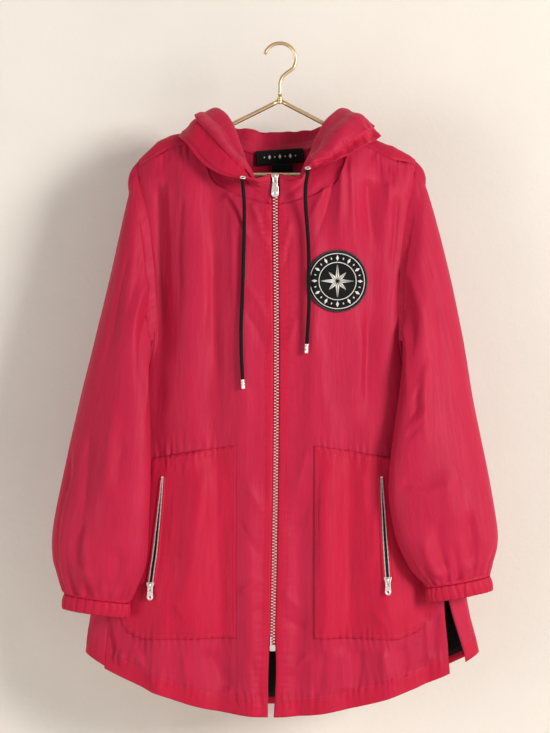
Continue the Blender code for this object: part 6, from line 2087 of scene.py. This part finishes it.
def make_badge():
    """A round black badge: a rolled edge, two white rings, a ring of diamonds and an eight-pointed star."""
    rings, spokes = 24, 96
    radius = np.linspace(0.0, BADGE_EDGE_RADIUS, rings)[:, None]
    turn = np.arange(spokes)[None, :] * 360.0 / spokes
    dome = 0.0004 * np.cos(radius / BADGE_RADIUS * np.pi / 2)
    points = badge_point(np.maximum(radius, 0.0002), turn + 0 * radius, dome + 0 * turn)
    ground = cloth_piece("badge_ground", points, BADGE_CLOTH, closed=True, flip=True, wall=0.0012)
    settle(ground, ["chest_badge"])
    turns = 150
    wrap = []
    for n in range(turns * 8):
        around = n / (turns * 8) * 360.0
        roll = n / 8 * 2 * math.pi
        reach = BADGE_EDGE_RADIUS + 0.00115 * math.cos(roll)
        wrap.append(badge_point(reach, around, BADGE_EDGE_LIFT + 0.0010 * math.sin(roll)))
    core = badge_ring("badge_core", BADGE_EDGE_RADIUS, 0.0011, BADGE_EDGE_LIFT, BLACK_THREAD)
    edge = tube_mesh("badge_wrap", wrap, 0.00034, BLACK_THREAD, 5, closed=True)
    settle(joined("badge_edge", [core, edge], BLACK_THREAD, 80.0), [])
    white = [badge_ring("ring_outer", BADGE_RADIUS * 0.885, 0.00062, 0.0004, WHITE_THREAD),
             badge_ring("ring_inner", BADGE_RADIUS * 0.600, 0.00062, 0.0006, WHITE_THREAD)]
    vertices, faces = [], []
    for n in range(24):
        at = n * 15.0
        middle = BADGE_RADIUS * 0.742
        tall, wide = (0.0042, 3.6) if n % 2 == 0 else (0.0020, 1.9)
        outline = [(middle + tall, at), (middle, at + wide), (middle - tall, at), (middle, at - wide)]
        shape, sides = raised_patch(outline, 0.0003, 0.0007)
        faces.extend(tuple(len(vertices) + i for i in face) for face in sides)
        vertices.extend(shape)
    for n in range(8):
        at = 90.0 + n * 45.0
        long = BADGE_RADIUS * (0.54 if n % 2 == 0 else 0.40)
        for lean in (-1, 1):
            outline = [(long, at + lean * 0.8), (BADGE_RADIUS * 0.17, at + lean * 20.5),
                       (BADGE_RADIUS * 0.05, at + lean * 8.0)]
            shape, sides = raised_patch(outline[::lean], 0.0004, 0.0009)
            faces.extend(tuple(len(vertices) + i for i in face) for face in sides)
            vertices.extend(shape)
    world = [vertex + ON_GARMENT for vertex in vertices]
    motif = plain_mesh("badge_motif", world, faces, WHITE_THREAD, smooth=False)
    design = joined("badge_design", white + [motif], WHITE_THREAD, 30.0)
    settle(design, [])


NECK_TAG_SIZE = (0.068, 0.0205)
NECK_TAG_PLACE = (0.0070, 0.0270, 0.1545)
NECK_TAG_TILT = 3.6
SIZE_TAG_SIZE = (0.029, 0.0200)
SIZE_TAG_PLACE = (0.0105, 0.0250, 0.1745)
LOZENGE_PITCH = 0.0074
LOZENGE_LIFT = 0.0010


def make_label(name, node, size, place, tilt):
    """A blank woven label with a softly bowed face; returns its sewn lines, both ends and the top."""
    wide, tall = size
    u, v = np.meshgrid(np.linspace(-1, 1, 41), np.linspace(1, -1, 17))
    x, z = u * wide / 2, v * tall / 2
    y = -0.0006 * np.cos(u * np.pi / 2) * np.cos(v * np.pi / 2) + 0.0002 * ripple(u * 3, v * 2, 181)
    turned_x = x * math.cos(tilt) + z * math.sin(tilt)
    turned_z = z * math.cos(tilt) - x * math.sin(tilt)
    points = np.stack([place[0] + turned_x, place[1] + y, -place[2] + turned_z], axis=-1)
    piece = cloth_piece(name, points, LABEL, flip=True, wall=0.0008)
    settle(piece, [node])
    lifted = moved_out(points, 0.0001, flip=True)
    return [lifted[1:-1, 1], lifted[1:-1, -2], lifted[1, 1:-1]]


def make_label_motif():
    """A row of small woven lozenges across the neck label."""
    vertices, faces = [], []
    for n in range(-3, 4):
        tall, wide = (0.0034, 0.0022) if n % 2 == 0 else (0.0016, 0.0011)
        x = NECK_TAG_PLACE[0] + n * LOZENGE_PITCH
        z = -NECK_TAG_PLACE[2] + n * LOZENGE_PITCH * math.tan(math.radians(NECK_TAG_TILT))
        y = NECK_TAG_PLACE[1] - LOZENGE_LIFT
        corners = ((0, tall), (wide, 0), (0, -tall), (-wide, 0), (0, 0))
        first = len(vertices)
        for at, (dx, dz) in enumerate(corners):
            vertices.append((x + dx + GARMENT_X, y - (0.0004 if at == 4 else 0.0), z + dz))
        faces.extend((first + i, first + 4, first + (i + 1) % 4) for i in range(4))
    motif = plain_mesh("neck_tag_motif", vertices, faces, WHITE_THREAD, smooth=False)
    settle(motif, [])


def make_labels():
    lines = make_label("neck_tag", "neck_label", NECK_TAG_SIZE, NECK_TAG_PLACE, math.radians(-NECK_TAG_TILT))
    make_label_motif()
    lines += make_label("size_tag", "size_label", SIZE_TAG_SIZE, SIZE_TAG_PLACE, 0.0)[2:]
    sewn = set_along("label_stitches", lines, stitch_shape(), STITCH_PITCH, BLACK_THREAD, follow=True)
    settle(sewn, [])


# Light and stage


def area_light(name, place, aim, size, watts, colour):
    light = bpy.data.lights.new(name, "AREA")
    light.shape = "RECTANGLE"
    light.size, light.size_y = size
    light.energy = watts
    light.color = colour
    lamp = link(bpy.data.objects.new(name, light))
    lamp.location = place
    way = np.array(aim) - np.array(place)
    flat = math.hypot(way[0], way[1])
    lamp.rotation_euler = (math.atan2(flat, -way[2]), 0.0, math.atan2(-way[0], way[1]))


WALL_Y = 0.15
WALL_TOP = 2.2
FLOOR_Z = -1.40
STAGE_REACH = 4


def make_stage():
    low, high = -STAGE_REACH, STAGE_REACH
    upright = [(low, WALL_Y, FLOOR_Z), (high, WALL_Y, FLOOR_Z),
               (high, WALL_Y, WALL_TOP), (low, WALL_Y, WALL_TOP)]
    level = [(low, low, FLOOR_Z), (high, low, FLOOR_Z), (high, high, FLOOR_Z), (low, high, FLOOR_Z)]
    wall = plain_mesh("pale_wall", upright, [(0, 1, 2, 3)], PLASTER)
    floor = plain_mesh("pale_floor", level, [(0, 1, 2, 3)], PLASTER)
    world = bpy.data.worlds.new("soft_room")
    world.use_nodes = True
    back = world.node_tree.nodes["Background"]
    back.inputs["Color"].default_value = (1.0, 0.965, 0.92, 1.0)
    back.inputs["Strength"].default_value = 0.30
    bpy.context.scene.world = world
    bpy.context.scene.view_settings.view_transform = "Standard"
    area_light("key", (2.9, -2.9, 0.4), (0.0, 0.0, -0.60), (1.2, 1.2), 146.0, (1.0, 0.96, 0.91))
    area_light("fill", (-2.6, -2.4, -0.8), (-0.3, 0.1, -0.8), (1.8, 1.8), 42.0, (1.0, 0.97, 0.94))
    area_light("rear", (0.4, 2.4, 0.8), (0.0, 0.0, -0.45), (1.6, 1.6), 26.0, (1.0, 0.97, 0.94))


make_camera()
make_cords()
front_nets = make_fronts()
make_back()
make_yoke()
pocket_nets = make_pockets(front_nets)
make_sleeves()
make_hood()
make_main_zip()
make_pocket_zips(pocket_nets)
make_badge()
make_labels()
make_stitches()
make_hanger()
make_stage()
